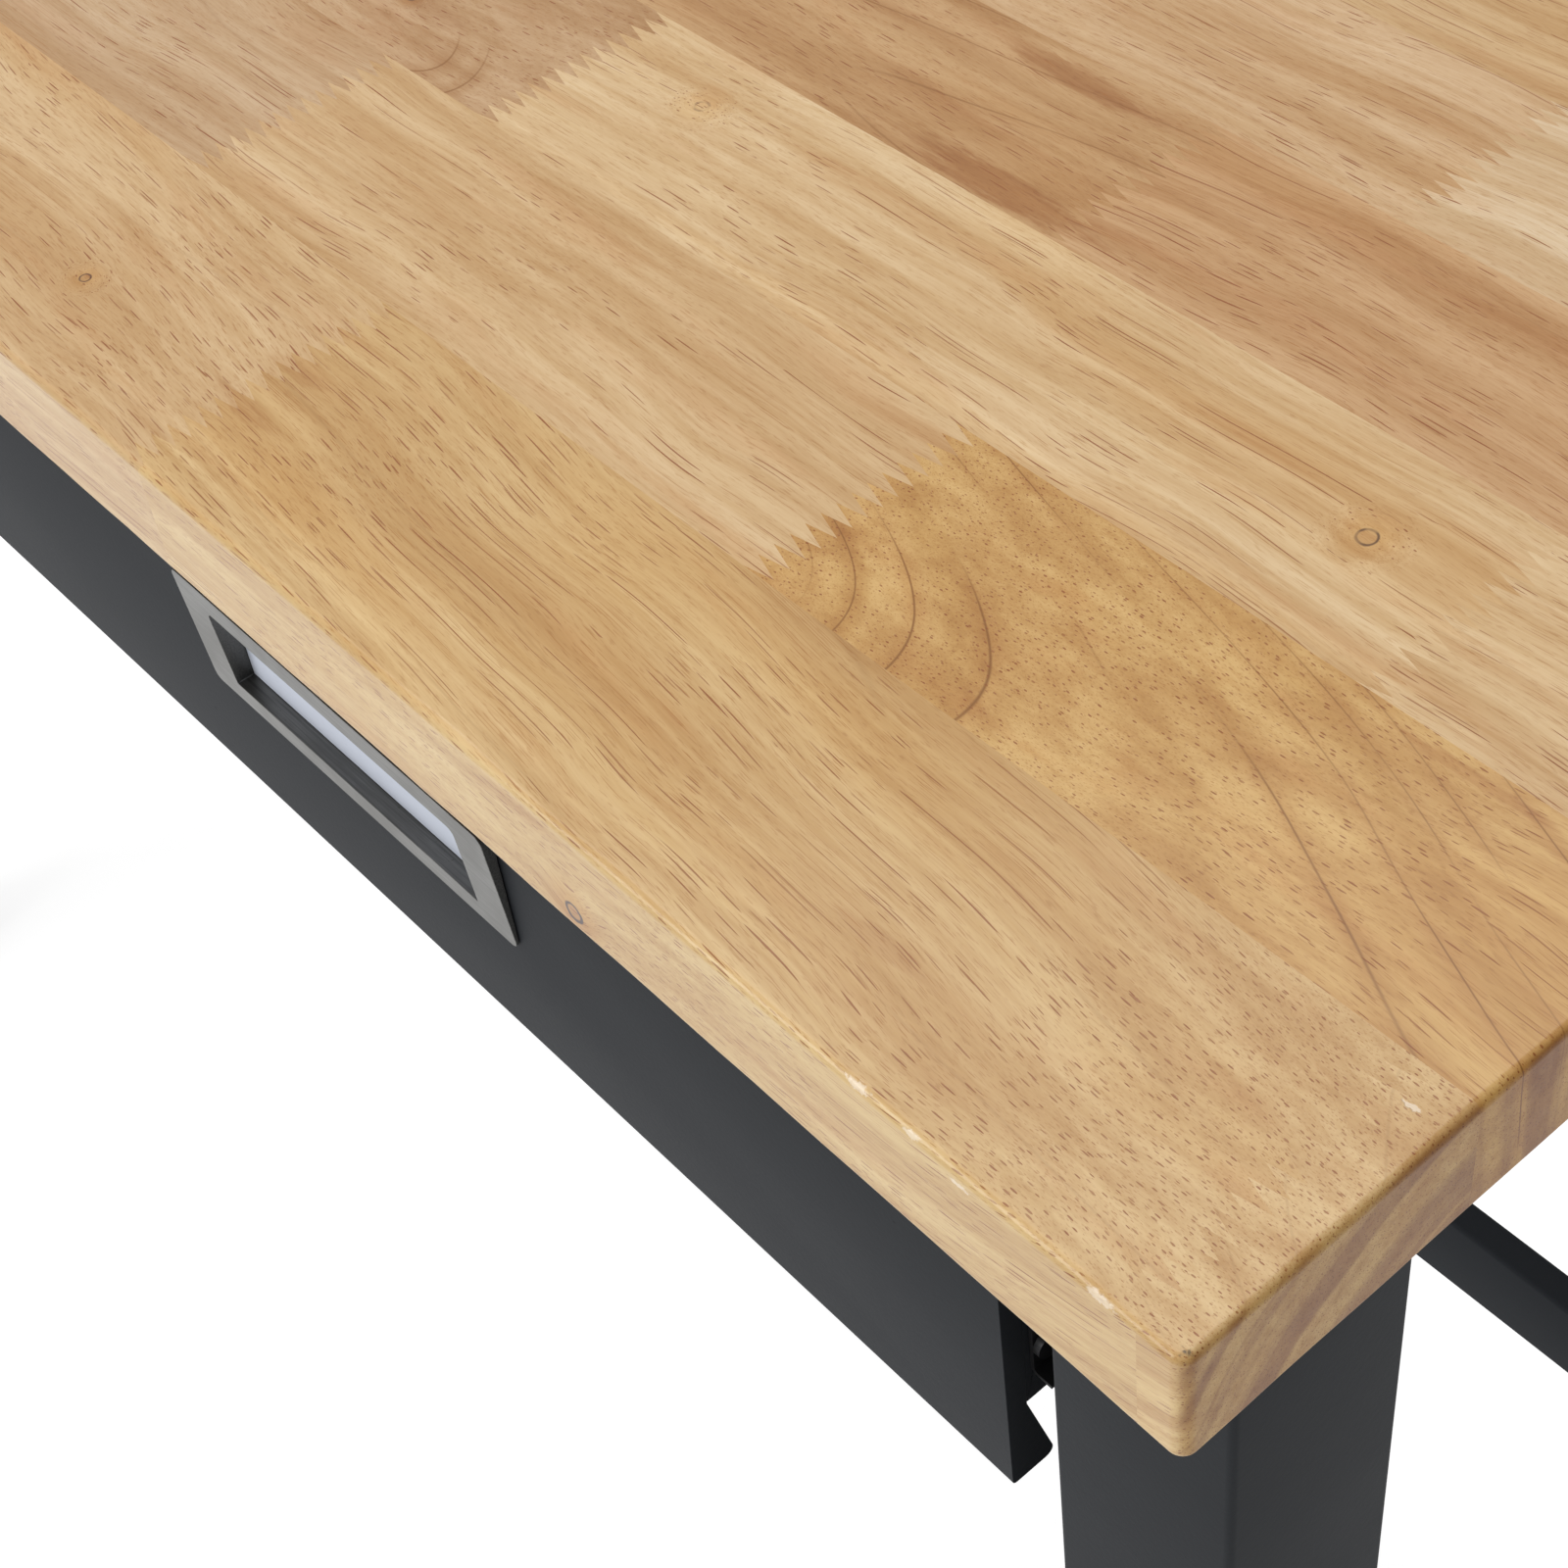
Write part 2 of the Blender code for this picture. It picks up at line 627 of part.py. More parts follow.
def holder_opening_middle():
    return FRONT_BOTTOM + HOLDER_BOTTOM_RISE + HOLDER_BOTTOM_BAR + HOLDER_OPENING_HEIGHT / 2


def holder_opening(x_middle, grow=0.0):
    """The outline of the opening: round upper corners, square lower ones."""
    half = HOLDER_WIDTH / 2 - HOLDER_SIDE_BAR + grow
    low = holder_opening_middle() - HOLDER_OPENING_HEIGHT / 2 - grow
    high = holder_opening_middle() + HOLDER_OPENING_HEIGHT / 2 + grow
    radius = HOLDER_OPENING_CORNER
    return [
        (x_middle - half, low),
        (x_middle + half, low),
        *arc((x_middle + half - radius, high - radius), radius, 0, 90, 4),
        *arc((x_middle - half + radius, high - radius), radius, 90, 180, 4),
    ]


def make_label_holder(side, x_middle):
    """A cast frame that leans out towards its top, with a shallow pocket let through the drawer front."""
    bottom = FRONT_BOTTOM + HOLDER_BOTTOM_RISE
    outline = rounded_rectangle(
        HOLDER_WIDTH, HOLDER_HEIGHT, HOLDER_CORNER, (x_middle, bottom + HOLDER_HEIGHT / 2)
    )
    rim_front = FRONT_Y - 2 * HOLDER_PROUD_TOP
    holder = extruded(
        f"{side}_label_holder", [outline], "Y", rim_front, FRONT_Y - GAP, NICKEL
    )
    lean_over = (HOLDER_PROUD_TOP - HOLDER_PROUD_BOTTOM) / HOLDER_HEIGHT * LEAN_REACH
    wedge_bottom = bottom - LEAN_REACH
    wedge_top = bottom + HOLDER_HEIGHT + LEAN_REACH
    wedge = [
        (FRONT_Y - HOLDER_PROUD_BOTTOM + lean_over, wedge_bottom),
        (FRONT_Y - HOLDER_PROUD_TOP - lean_over, wedge_top),
        (FRONT_Y - CUTTER_REACH, wedge_top),
        (FRONT_Y - CUTTER_REACH, wedge_bottom),
    ]
    reach = (x_middle - HOLDER_WIDTH, x_middle + HOLDER_WIDTH)
    cut(holder, extruded("lean", [wedge], "X", *reach, NICKEL))
    pocket_back = FRONT_Y + POCKET_DEPTH
    pocket = extruded(
        "pocket", [holder_opening(x_middle, POCKET_WALL)], "Y",
        FRONT_Y - 2 * GAP, pocket_back + POCKET_WALL, NICKEL,
    )
    join(holder, pocket)
    opening = [holder_opening(x_middle)]
    cut(holder, extruded("opening", opening, "Y", FRONT_Y - CUTTER_REACH, pocket_back, NICKEL))
    return holder


def make_label_card(side, x_middle):
    back = FRONT_Y + POCKET_DEPTH - GAP
    outline = holder_opening(x_middle, -GAP)
    return extruded(f"{side}_label_card", [outline], "Y", back - CARD_THICKNESS, back, PAPER)


# Slides. Their sections are given as (distance from the wall they are fixed to, height from their middle).


def slide_member(name, section, wall_x, towards, front):
    """One member of a slide. towards is the direction from the wall to the drawer."""
    outline = [(wall_x + towards * (GAP + s), SLIDE_Z + h) for s, h in section]
    return extruded(name, [outline], "Y", front, front + SLIDE_LENGTH, SLIDE_STEEL)


def channel(web, rim, half_height):
    """A C section, its web at one distance from the wall and its two flanges reaching to another."""
    edge = half_height - SLIDE_METAL / 2
    path = [(rim, edge), (web, edge), (web, -edge), (rim, -edge)]
    return folded_sheet(path, SLIDE_METAL, SLIDE_FOLD_RADIUS)


def slide_screw_places():
    rear_end = SLIDE_FRONT - INNER_MEMBER_LEAD + SLIDE_LENGTH
    return (FRONT_Y + SCREW_FRONT_SETBACK, rear_end - SCREW_REAR_SETBACK)


def make_slide(name, wall_x, towards):
    """A slide's three members and two screws. Returns all but the fixed member."""
    half_metal = SLIDE_METAL / 2
    sections = {
        "fixed": channel(half_metal, FIXED_RIM, FIXED_HALF_HEIGHT),
        "middle": channel(MIDDLE_WEB, MIDDLE_RIM, MIDDLE_HALF_HEIGHT),
        "drawer": channel(SLIDE_THICKNESS - half_metal, DRAWER_RIM, DRAWER_HALF_HEIGHT),
    }
    starts = {"fixed": SLIDE_FRONT, "middle": SLIDE_FRONT, "drawer": SLIDE_FRONT - INNER_MEMBER_LEAD}
    members = {
        member: slide_member(f"{name}_{member}", section, wall_x, towards, starts[member])
        for member, section in sections.items()
    }
    drawer = members["drawer"]
    web_x = wall_x + towards * (GAP + SLIDE_THICKNESS - SLIDE_METAL)
    screws = []
    for place, y in zip(("front", "rear"), slide_screw_places()):
        centre = (y, SLIDE_Z)
        reach = (web_x - SCREW_REACH, web_x + SCREW_REACH)
        cut(drawer, cylinder("hole", SCREW_RADIUS + HOLE_CLEARANCE, *reach, "X", centre, SLIDE_STEEL))
        head = sorted((web_x - towards * (GAP + SCREW_HEAD), web_x - towards * GAP))
        shank = sorted((web_x - towards * (GAP + SCREW_HEAD / 2), web_x + towards * SCREW_REACH))
        screw = cylinder(f"{name}_screw_{place}", SCREW_HEAD_RADIUS, *head, "X", centre, ZINC)
        join(screw, cylinder("shank", SCREW_RADIUS, *shank, "X", centre, ZINC))
        screws.append(screw)
    return members["middle"], drawer, screws


def make_drawer(side, x_sign):
    x_middle = x_sign * DRAWER_X
    moving = [
        make_drawer_front(side, x_middle),
        make_tray(side, x_middle),
        make_label_holder(side, x_middle),
        make_label_card(side, x_middle),
    ]
    middles = []
    walls = (("outer", x_sign * BRACKET_FACE, -x_sign), ("inner", x_sign * HANGER_HALF, x_sign))
    for place, wall_x, towards in walls:
        middle, drawer, screws = make_slide(f"{side}_{place}_slide", wall_x, towards)
        moving += [drawer, *screws]
        middles.append(middle)
    assembly(f"{side}_drawer", (x_middle, FRONT_Y, SLIDE_Z), moving)
    assembly(f"{side}_drawer_middle_members", (x_middle, SLIDE_FRONT, SLIDE_Z), middles)


def smooth_round_faces():
    for made in BENCH.objects:
        if made.type == "MESH":
            made.data.shade_smooth()
            made.data.set_sharp_from_angle(angle=math.radians(SMOOTH_ANGLE))


make_top()
for side_name, side_sign in SIDES:
    make_side_members(side_name, side_sign)
    make_slide_bracket(side_name, side_sign)
    make_drawer(side_name, side_sign)
    for end_name, end_sign in ENDS:
        make_leg(side_name, side_sign, end_name, end_sign)
        make_foot(side_name, side_sign, end_name, end_sign)
make_rear_rail()
make_rear_crossbar()
make_crossbar_bolts()
make_centre_hanger()
smooth_round_faces()
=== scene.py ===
"""The looks of a workbench with drawers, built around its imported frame. Metres, +Z up, front towards -Y."""

import json
import math
import random

import bmesh
import bpy
from mathutils import Matrix, Vector, noise


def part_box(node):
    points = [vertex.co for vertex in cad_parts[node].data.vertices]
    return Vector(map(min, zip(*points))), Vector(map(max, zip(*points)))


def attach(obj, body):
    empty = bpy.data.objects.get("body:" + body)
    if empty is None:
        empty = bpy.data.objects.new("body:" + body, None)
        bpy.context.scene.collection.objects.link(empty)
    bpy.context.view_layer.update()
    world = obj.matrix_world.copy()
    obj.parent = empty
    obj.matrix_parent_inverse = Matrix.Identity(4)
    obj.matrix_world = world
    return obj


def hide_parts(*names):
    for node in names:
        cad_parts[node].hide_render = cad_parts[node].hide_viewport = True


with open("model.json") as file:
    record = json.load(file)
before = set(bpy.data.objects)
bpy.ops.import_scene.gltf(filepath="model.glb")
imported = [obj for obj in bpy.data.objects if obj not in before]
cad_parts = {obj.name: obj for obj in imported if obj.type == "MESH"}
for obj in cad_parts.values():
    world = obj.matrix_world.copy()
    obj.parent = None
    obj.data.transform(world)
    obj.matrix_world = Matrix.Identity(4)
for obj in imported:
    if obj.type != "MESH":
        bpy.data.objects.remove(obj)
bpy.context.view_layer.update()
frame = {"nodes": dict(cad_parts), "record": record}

NODES = frame["nodes"]

# The wooden top
TOP_LOW, TOP_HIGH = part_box("bench_top")
ARRIS_RADIUS = 0.0025
ARRIS_WAVER = 0.25  # how far the hand-sanded arris strays from its radius, as a share of it
EDGE_STEP = 0.011
TOP_CORNER_RADIUS = 0.0038
ARRIS_STEPS = 6
CORNER_STEPS = 8
STAVE_WIDTHS = (0.081, 0.068, 0.066, 0.064, 0.065, 0.066, 0.064, 0.034)
FINGER_PITCH = 0.0047
FINGER_LENGTH = 0.0095
FINGER_LEAN = 0.35  # how far a finger's tip leans over from the middle of its root, as a share of the pitch
WELD = 2e-6

# Camera: where it stands from the top's front right upper corner, and how it is turned
CAMERA_FROM_CORNER = Vector((0.1845, -0.1943, 0.4489))
CAMERA_AZIMUTH = math.radians(55.38)
CAMERA_ELEVATION = math.radians(47.11)
CAMERA_ROLL = math.radians(-8.45)
CAMERA_LENS = 65.39
CAMERA_SENSOR = 36.0

# Slide bearings. A row's name and body, how far it runs from the wall and from the slide's middle, and the
# radius of its balls
BALL_ROWS = (
    ("fixed", "frame", 0.0073, 0.01915, 0.0020),
    ("middle", "{side}_slide_middles", 0.0083, 0.0134, 0.00225),
)
BALL_SPACING = 0.012
BALLS_IN_ROW = 16
BALL_ROW_SETBACK = 0.012  # from the fixed member's front end to the first ball
RETAINER_SHEET = 0.0008
RETAINER_WIDTH = 0.0045
RETAINER_MARGIN = 0.004

# Weld beads where the frame's members meet the legs
WELD_RADIUS = 0.0018
WELD_PITCH = 0.0026
WELD_RIPPLE = 0.10
WELD_WAVER = 0.25
WELD_STEP = 0.00065
WELD_SIDES = 10
WELD_CORNER = 0.0025
WELD_CORNER_STEPS = 4
WELD_END_DROP = 0.003  # from the upper rails' top to the beads' ends

# Light from all round: its strength level with the horizon, and how it grows towards +X, +Y and +Z
SKY_STRENGTH = 0.385
SKY_FAVOURS = (-0.175, -0.11, 0.27)


def srgb(red, green, blue):
    """A linear colour from the 0 to 255 values of a colour chart."""
    def linear(value):
        share = value / 255
        return share / 12.92 if share <= 0.04045 else ((share + 0.055) / 1.055) ** 2.4
    return tuple(linear(value) for value in (red, green, blue))


# ---------------------------------------------------------------- material graphs

class Graph:
    """Short calls for building one material's nodes."""

    def __init__(self, name):
        self.material = bpy.data.materials.new(name)
        self.material.use_nodes = True
        self.tree = self.material.node_tree
        self.tree.nodes.clear()
        self.place = self.node("ShaderNodeTexCoord").outputs["Object"]

    def node(self, kind, inputs=None, **settings):
        made = self.tree.nodes.new(kind)
        for key, value in settings.items():
            setattr(made, key, value)
        for key, value in (inputs or {}).items():
            self.feed(made.inputs[key], value)
        return made

    def feed(self, socket, value):
        if isinstance(value, bpy.types.NodeSocket):
            self.tree.links.new(value, socket)
        else:
            socket.default_value = value

    def math(self, operation, *values, clamp=False):
        return self.node("ShaderNodeMath", dict(enumerate(values)), operation=operation,
                         use_clamp=clamp).outputs[0]

    def vector(self, operation, *values):
        made = self.node("ShaderNodeVectorMath", dict(enumerate(values)), operation=operation)
        return made.outputs["Value" if operation in ("LENGTH", "DISTANCE", "DOT_PRODUCT") else "Vector"]

    def combine(self, x, y, z):
        return self.node("ShaderNodeCombineXYZ", {0: x, 1: y, 2: z}).outputs[0]

    def separate(self, vector):
        return self.node("ShaderNodeSeparateXYZ", {0: vector}).outputs

    def attribute(self, name):
        return self.node("ShaderNodeAttribute", attribute_name=name, attribute_type="GEOMETRY").outputs

    def noise(self, vector, scale=1.0, detail=2.0, roughness=0.5, coloured=False):
        made = self.node("ShaderNodeTexNoise", {"Vector": vector, "Scale": scale, "Detail": detail,
                                                "Roughness": roughness})
        return made.outputs["Color" if coloured else "Fac"]

    def ramp(self, value, low, high, start=0.0, end=1.0):
        """A smooth step from start at low to end at high."""
        return self.node("ShaderNodeMapRange", {"Value": value, "From Min": low, "From Max": high,
                                                "To Min": start, "To Max": end},
                         interpolation_type="SMOOTHSTEP").outputs["Result"]

    def mix(self, share, first, second, blend="MIX"):
        made = self.node("ShaderNodeMix", data_type="RGBA", blend_type=blend, clamp_factor=True)
        self.feed(made.inputs[0], share)
        self.feed(made.inputs[6], self.opaque(first))
        self.feed(made.inputs[7], self.opaque(second))
        return made.outputs[2]

    def tint(self, share, colour, by):
        """The colour multiplied by another, where and as far as the share says."""
        return self.mix(share, colour, self.mix(1.0, colour, by, "MULTIPLY"))

    def opaque(self, colour):
        return colour if isinstance(colour, bpy.types.NodeSocket) else (*colour[:3], 1.0)

    def bump(self, height, distance, strength=1.0):
        return self.node("ShaderNodeBump", {"Height": height, "Distance": distance,
                                            "Strength": strength}).outputs[0]

    def finish(self, **inputs):
        """The surface itself. A key is a socket's name with its spaces as underscores."""
        named = {key.replace("_", " "): value for key, value in inputs.items()}
        if "Base Color" in named:
            named["Base Color"] = self.opaque(named["Base Color"])
        shader = self.node("ShaderNodeBsdfPrincipled", named)
        self.node("ShaderNodeOutputMaterial", {"Surface": shader.outputs[0]})
        return self.material


# ---------------------------------------------------------------- rubberwood

# The boards' tones
HONEY = srgb(200, 166, 123)
GOLD = srgb(200, 165, 115)
CREAM = srgb(206, 174, 132)
MILK = srgb(208, 180, 146)
OCHRE = srgb(197, 156, 96)
TAN = srgb(199, 164, 125)
ROSE = srgb(188, 155, 119)
DUSK = srgb(186, 150, 112)
BROWN = srgb(185, 145, 100)
PINK = srgb(189, 148, 105)
TONES = (HONEY, HONEY, CREAM, GOLD, TAN, PINK, DUSK, BROWN)
JOINT_GAP_LEAST = 0.17
JOINT_GAP_MOST = 0.42
RING_SWAY = 0.030  # how far the growth rings stray from their circles

# Knots: middle, size, and how dark the knot itself is. They show where one of the top's faces passes near.
KNOTS = (
    ((0.490, -0.069, 0.952), 0.0028, 0.45),
    ((0.242, -0.061, 0.951), 0.0026, 0.03),
    ((0.4245, -0.2545, 0.9228), 0.0032, 1.00),
    ((0.176, -0.222, 0.952), 0.0018, 0.5),
    ((0.133, -0.082, 0.952), 0.0015, 0.7),
    ((-0.118, 0.120, 0.952), 0.0036, 0.35),
    ((-0.371, -0.140, 0.952), 0.0030, 0.2),
    ((-0.520, 0.205, 0.952), 0.0040, 0.5),
    ((-0.236, 0.254, 0.936), 0.0040, 0.4),
)

# Darker or paler figure: middle, half length, half width, and strength (a pale one has a negative strength)
SHADES = (
    ((0.331, -0.032, 0.952), 0.036, 0.0065, 0.95),
    ((0.312, 0.016, 0.952), 0.028, 0.0050, 0.80),
    ((0.370, -0.236, 0.952), 0.140, 0.0130, -0.60),
    ((0.390, -0.101, 0.952), 0.175, 0.0034, -0.80),
    ((0.555, -0.1095, 0.952), 0.024, 0.0020, 0.70),
    ((0.256, -0.222, 0.952), 0.016, 0.0036, 0.55),
    ((0.253, -0.205, 0.952), 0.012, 0.0026, 0.45),
    ((0.499, -0.226, 0.952), 0.014, 0.0030, 0.45),
    ((0.140, -0.083, 0.952), 0.022, 0.0050, 0.40),
    ((-0.210, -0.060, 0.952), 0.060, 0.0040, 0.55),
    ((-0.420, 0.070, 0.952), 0.090, 0.0035, -0.60),
    ((-0.060, 0.160, 0.952), 0.045, 0.0040, 0.50),
)

# Chips in the lacquer along the front arris and at the right end: middle and size
CHIPS = (
    ((0.5218, -0.2530, 0.9510), 0.0012),
    ((0.5379, -0.2535, 0.9508), 0.0009),
    ((0.5508, -0.2540, 0.9480), 0.0010),
    ((0.5889, -0.2535, 0.9505), 0.0013),
    ((0.6009, -0.1824, 0.9520), 0.0008),
    ((-0.3120, -0.2535, 0.9508), 0.0011),
    ((-0.6070, -0.2505, 0.9500), 0.0013),
)
CORNER_CHIP = (0.6078, -0.2512, 0.9508)
CORNER_CHIP_SIZE = 0.0016


class Board:
    """One stave's length of wood between two finger joints.

    at is the x that the rest is measured from, the board's middle unless stated. heart is where its tree's
    heart lies there (y, z), lean how the rings lean as they run along the board (y, z), and flare how much they
    flatten away from the heart. slant and dive are how the fibres run across the top and into it, and bend how
    much more steeply they dive beyond bend_at. figure and pores are the strengths of its ring figure and of its
    open pores.
    """

    def __init__(self, tone, at=None, heart=(0.02, -0.06), lean=(0.0, 0.02), flare=0.0, slant=0.0, dive=0.03,
                 bend_at=1.0, bend=0.0, figure=0.2, pores=0.5):
        self.at = at
        self.flare = flare
        self.tone = tone
        self.heart = heart
        self.lean = lean
        self.slant = slant
        self.dive = dive
        self.bend_at = bend_at
        self.bend = bend
        self.figure = figure
        self.pores = pores
        self.seed = 0.0


def known_boards():
    """The boards at the top's right-hand end: for each stave, its joints from the left, and its boards."""
    return {
        0: ((0.245, 0.590), (
            Board(HONEY, heart=(0.035, -0.05), slant=-0.10, dive=0.05, figure=0.4, pores=0.8),
            Board(GOLD, heart=(0.05, -0.10), lean=(-0.03, 0.05), slant=-0.09, dive=0.028, bend_at=0.105,
                  bend=2.0, figure=0.45, pores=1.0),
            Board(GOLD, heart=(0.05, -0.10), lean=(0.0, 0.45), dive=0.30, figure=0.45, pores=1.1))),
        1: ((0.150, 0.392), (
            Board(ROSE, heart=(0.03, -0.04), dive=0.05, figure=0.4, pores=0.5),
            Board(HONEY, heart=(0.06, -0.05), lean=(0.02, 0.03), dive=0.035, figure=0.3, pores=0.35),
            Board(OCHRE, at=0.390, heart=(-0.036, 0.0), lean=(-0.35, 0.835), flare=12.0, dive=0.55,
                  bend_at=0.0, bend=-1.25, figure=1.0, pores=0.9))),
        2: ((0.195, 0.518), (
            Board(DUSK, at=0.135, heart=(-0.014, 0.0), lean=(-0.15, 0.45), dive=0.12, figure=0.9, pores=0.4),
            Board(CREAM, heart=(-0.08, -0.07), lean=(0.02, 0.02), dive=0.03, figure=0.25, pores=0.4),
            Board(CREAM, heart=(0.05, -0.06), lean=(-0.02, 0.03), dive=0.05, figure=0.3, pores=0.5))),
        3: ((0.095, 0.352), (
            Board(TAN, dive=0.04, pores=0.4),
            Board(BROWN, heart=(-0.02, -0.03), lean=(0.02, 0.10), dive=0.06, figure=0.8, pores=0.5),
            Board(PINK, heart=(0.07, -0.05), lean=(-0.02, 0.02), dive=0.03, figure=0.45, pores=0.7))),
        4: ((0.160, 0.413), (
            Board(HONEY, dive=0.05, pores=0.5),
            Board(TAN, heart=(0.02, -0.05), lean=(0.0, 0.06), dive=0.05, figure=0.4, pores=0.6),
            Board(MILK, heart=(-0.04, -0.09), lean=(0.0, 0.03), dive=0.03, figure=0.2, pores=0.3))),
        5: ((0.322,), (
            Board(TAN, heart=(0.03, -0.06), dive=0.04, figure=0.3, pores=0.5),
            Board(HONEY, heart=(-0.05, -0.08), dive=0.03, figure=0.25, pores=0.5))),
    }


def random_board(dice):
    """A board like the known ones, for the staves and ends that have none of their own."""
    steep = dice.random() < 0.2
    lean = (dice.uniform(-0.03, 0.03), dice.uniform(0.3, 0.6) if steep else dice.uniform(-0.05, 0.05))
    return Board(dice.choice(TONES), heart=(dice.uniform(-0.08, 0.08), dice.uniform(-0.11, -0.03)), lean=lean,
                 slant=dice.uniform(-0.10, 0.10), dive=dice.uniform(0.025, 0.06) + (0.15 if steep else 0.0),
                 figure=dice.uniform(0.2, 0.6), pores=dice.uniform(0.4, 1.0))


def lay_out_staves():
    """For each stave: its two glue lines, its joints from left to right, and its boards."""
    dice = random.Random(11)
    known = known_boards()
    staves = []
    line = TOP_LOW.y
    for number, width in enumerate(STAVE_WIDTHS):
        joints, boards = known.get(number, ((), ()))
        joints = list(joints)
        boards = list(boards)
        if not joints:
            joints = [TOP_HIGH.x - dice.uniform(0.10, 0.34)]
            boards = [random_board(dice), random_board(dice)]
        while joints[0] - TOP_LOW.x > JOINT_GAP_MOST:
            joints.insert(0, joints[0] - dice.uniform(JOINT_GAP_LEAST, JOINT_GAP_MOST))
            boards.insert(0, random_board(dice))
        for board in boards:
            board.seed = dice.uniform(1, 90)
        staves.append((line, line + width, joints, boards))
        line += width
    return staves


def finger_line(joint, start, end):
    """The zigzag of one finger joint across a stave, from its near glue line to its far one."""
    count = round((end - start) / FINGER_PITCH)
    pitch = (end - start) / count
    points = [(joint, start)]
    for finger in range(count):
        root = start + finger * pitch
        points.append((joint + FINGER_LENGTH, root + pitch * FINGER_LEAN))
        points.append((joint, root + pitch))
    return points


def slab_outline():
    """Points round the top's edge, each with the direction outwards from it."""
    middle = (TOP_LOW + TOP_HIGH) / 2
    reach = (TOP_HIGH - TOP_LOW) / 2 - Vector((TOP_CORNER_RADIUS, TOP_CORNER_RADIUS, 0))
    corners = []
    for corner, (side_x, side_y) in enumerate(((1, 1), (-1, 1), (-1, -1), (1, -1))):
        centre = Vector((middle.x + side_x * reach.x, middle.y + side_y * reach.y))
        arc = []
        for step in range(CORNER_STEPS + 1):
            turn = math.pi / 2 * (corner + step / CORNER_STEPS)
            outwards = Vector((math.cos(turn), math.sin(turn)))
            arc.append((centre + TOP_CORNER_RADIUS * outwards, outwards))
        corners.append(arc)
    outline = []
    for arc, following in zip(corners, corners[1:] + corners[:1]):
        outline += arc
        start, outwards = arc[-1]
        end = following[0][0]
        count = round((end - start).length / EDGE_STEP)
        outline += [(start.lerp(end, step / count), outwards) for step in range(1, count)]
    return outline


def rounded_slab(name):
    """The whole top as one closed form, its upright corners and its slightly wavering arrises rounded."""
    turns = [math.pi / 2 * step / ARRIS_STEPS for step in range(ARRIS_STEPS + 1)]
    outline = slab_outline()
    mesh = bmesh.new()
    loops = []
    for level, place in ((TOP_LOW.z, 1), (TOP_HIGH.z, -1)):
        for turn in turns[::place]:
            loop = []
            for point, outwards in outline:
                waver = noise.noise(Vector((point.x * 45, point.y * 45, level * 9)))
                radius = ARRIS_RADIUS * (1 + ARRIS_WAVER * waver)
                flat = point - outwards * radius * (1 - math.sin(turn))
                loop.append(mesh.verts.new((*flat, level + place * radius * (1 - math.cos(turn)))))
            loops.append(loop)
    for lower, upper in zip(loops, loops[1:]):
        for at in range(len(lower)):
            after = (at + 1) % len(lower)
            mesh.faces.new((lower[at], lower[after], upper[after], upper[at]))
    mesh.faces.new(list(reversed(loops[0])))
    mesh.faces.new(loops[-1])
    return mesh_object(name, mesh)


def mesh_object(name, mesh):
    """A new object in the scene from a bmesh."""
    data = bpy.data.meshes.new(name)
    mesh.to_mesh(data)
    mesh.free()
    made = bpy.data.objects.new(name, data)
    bpy.context.scene.collection.objects.link(made)
    return made


def board_blank(number, place, staves):
    """An oversize block in one board's outline: straight along glue lines, zigzag at finger joints."""
    start, end, joints, boards = staves[number]
    margin = 0.01
    near = start - (margin if number == 0 else 0.0)
    far = end + (margin if number == len(staves) - 1 else 0.0)
    def neighbour_marks(other):
        return staves[other][2] if 0 <= other < len(staves) else []
    first = finger_line(joints[place - 1], start, end) if place else None
    last = finger_line(joints[place], start, end) if place < len(joints) else None
    left = TOP_LOW.x - margin
    right = TOP_HIGH.x + margin
    left_side = [(x, y) for x, y in first] if first else [(left, start), (left, end)]
    right_side = [(x, y) for x, y in last] if last else [(right, start), (right, end)]
    left_side[0] = (left_side[0][0], near)
    left_side[-1] = (left_side[-1][0], far)
    right_side[0] = (right_side[0][0], near)
    right_side[-1] = (right_side[-1][0], far)
    def marks_between(other, begin, finish):
        return sorted(mark for mark in neighbour_marks(other) if begin < mark < finish)
    bottom = [(mark, near) for mark in marks_between(number - 1, left_side[0][0], right_side[0][0])]
    top = [(mark, far) for mark in marks_between(number + 1, left_side[-1][0], right_side[-1][0])]
    outline = bottom + right_side + list(reversed(top)) + list(reversed(left_side))
    mesh = bmesh.new()
    low = [mesh.verts.new((x, y, TOP_LOW.z - margin)) for x, y in outline]
    high = [mesh.verts.new((x, y, TOP_HIGH.z + margin)) for x, y in outline]
    for at in range(len(outline)):
        after = (at + 1) % len(outline)
        mesh.faces.new((low[at], low[after], high[after], high[at]))
    mesh.faces.new(list(reversed(low)))
    mesh.faces.new(high)
    return mesh_object(f"blank_{number}_{place}", mesh)


def intersected(blank, slab):
    """The part of the slab inside the blank, as a bmesh. The blank is used up."""
    cut = blank.modifiers.new("cut", "BOOLEAN")
    cut.operation = "INTERSECT"
    cut.object = slab
    bpy.context.view_layer.update()
    found = bmesh.new()
    found.from_object(blank, bpy.context.evaluated_depsgraph_get())
    bpy.data.objects.remove(blank)
    return found


def is_inner_wall(face):
    """True for a face where two boards meet, inside the top."""
    if abs(face.normal.z) > 0.01:
        return False
    middle = face.calc_center_median()
    clear = 1e-4
    from_end = min(TOP_HIGH.x - middle.x, middle.x - TOP_LOW.x)
    from_side = min(TOP_HIGH.y - middle.y, middle.y - TOP_LOW.y)
    at_corner = max(from_end, from_side) < TOP_CORNER_RADIUS
    return min(from_end, from_side) > clear and not at_corner


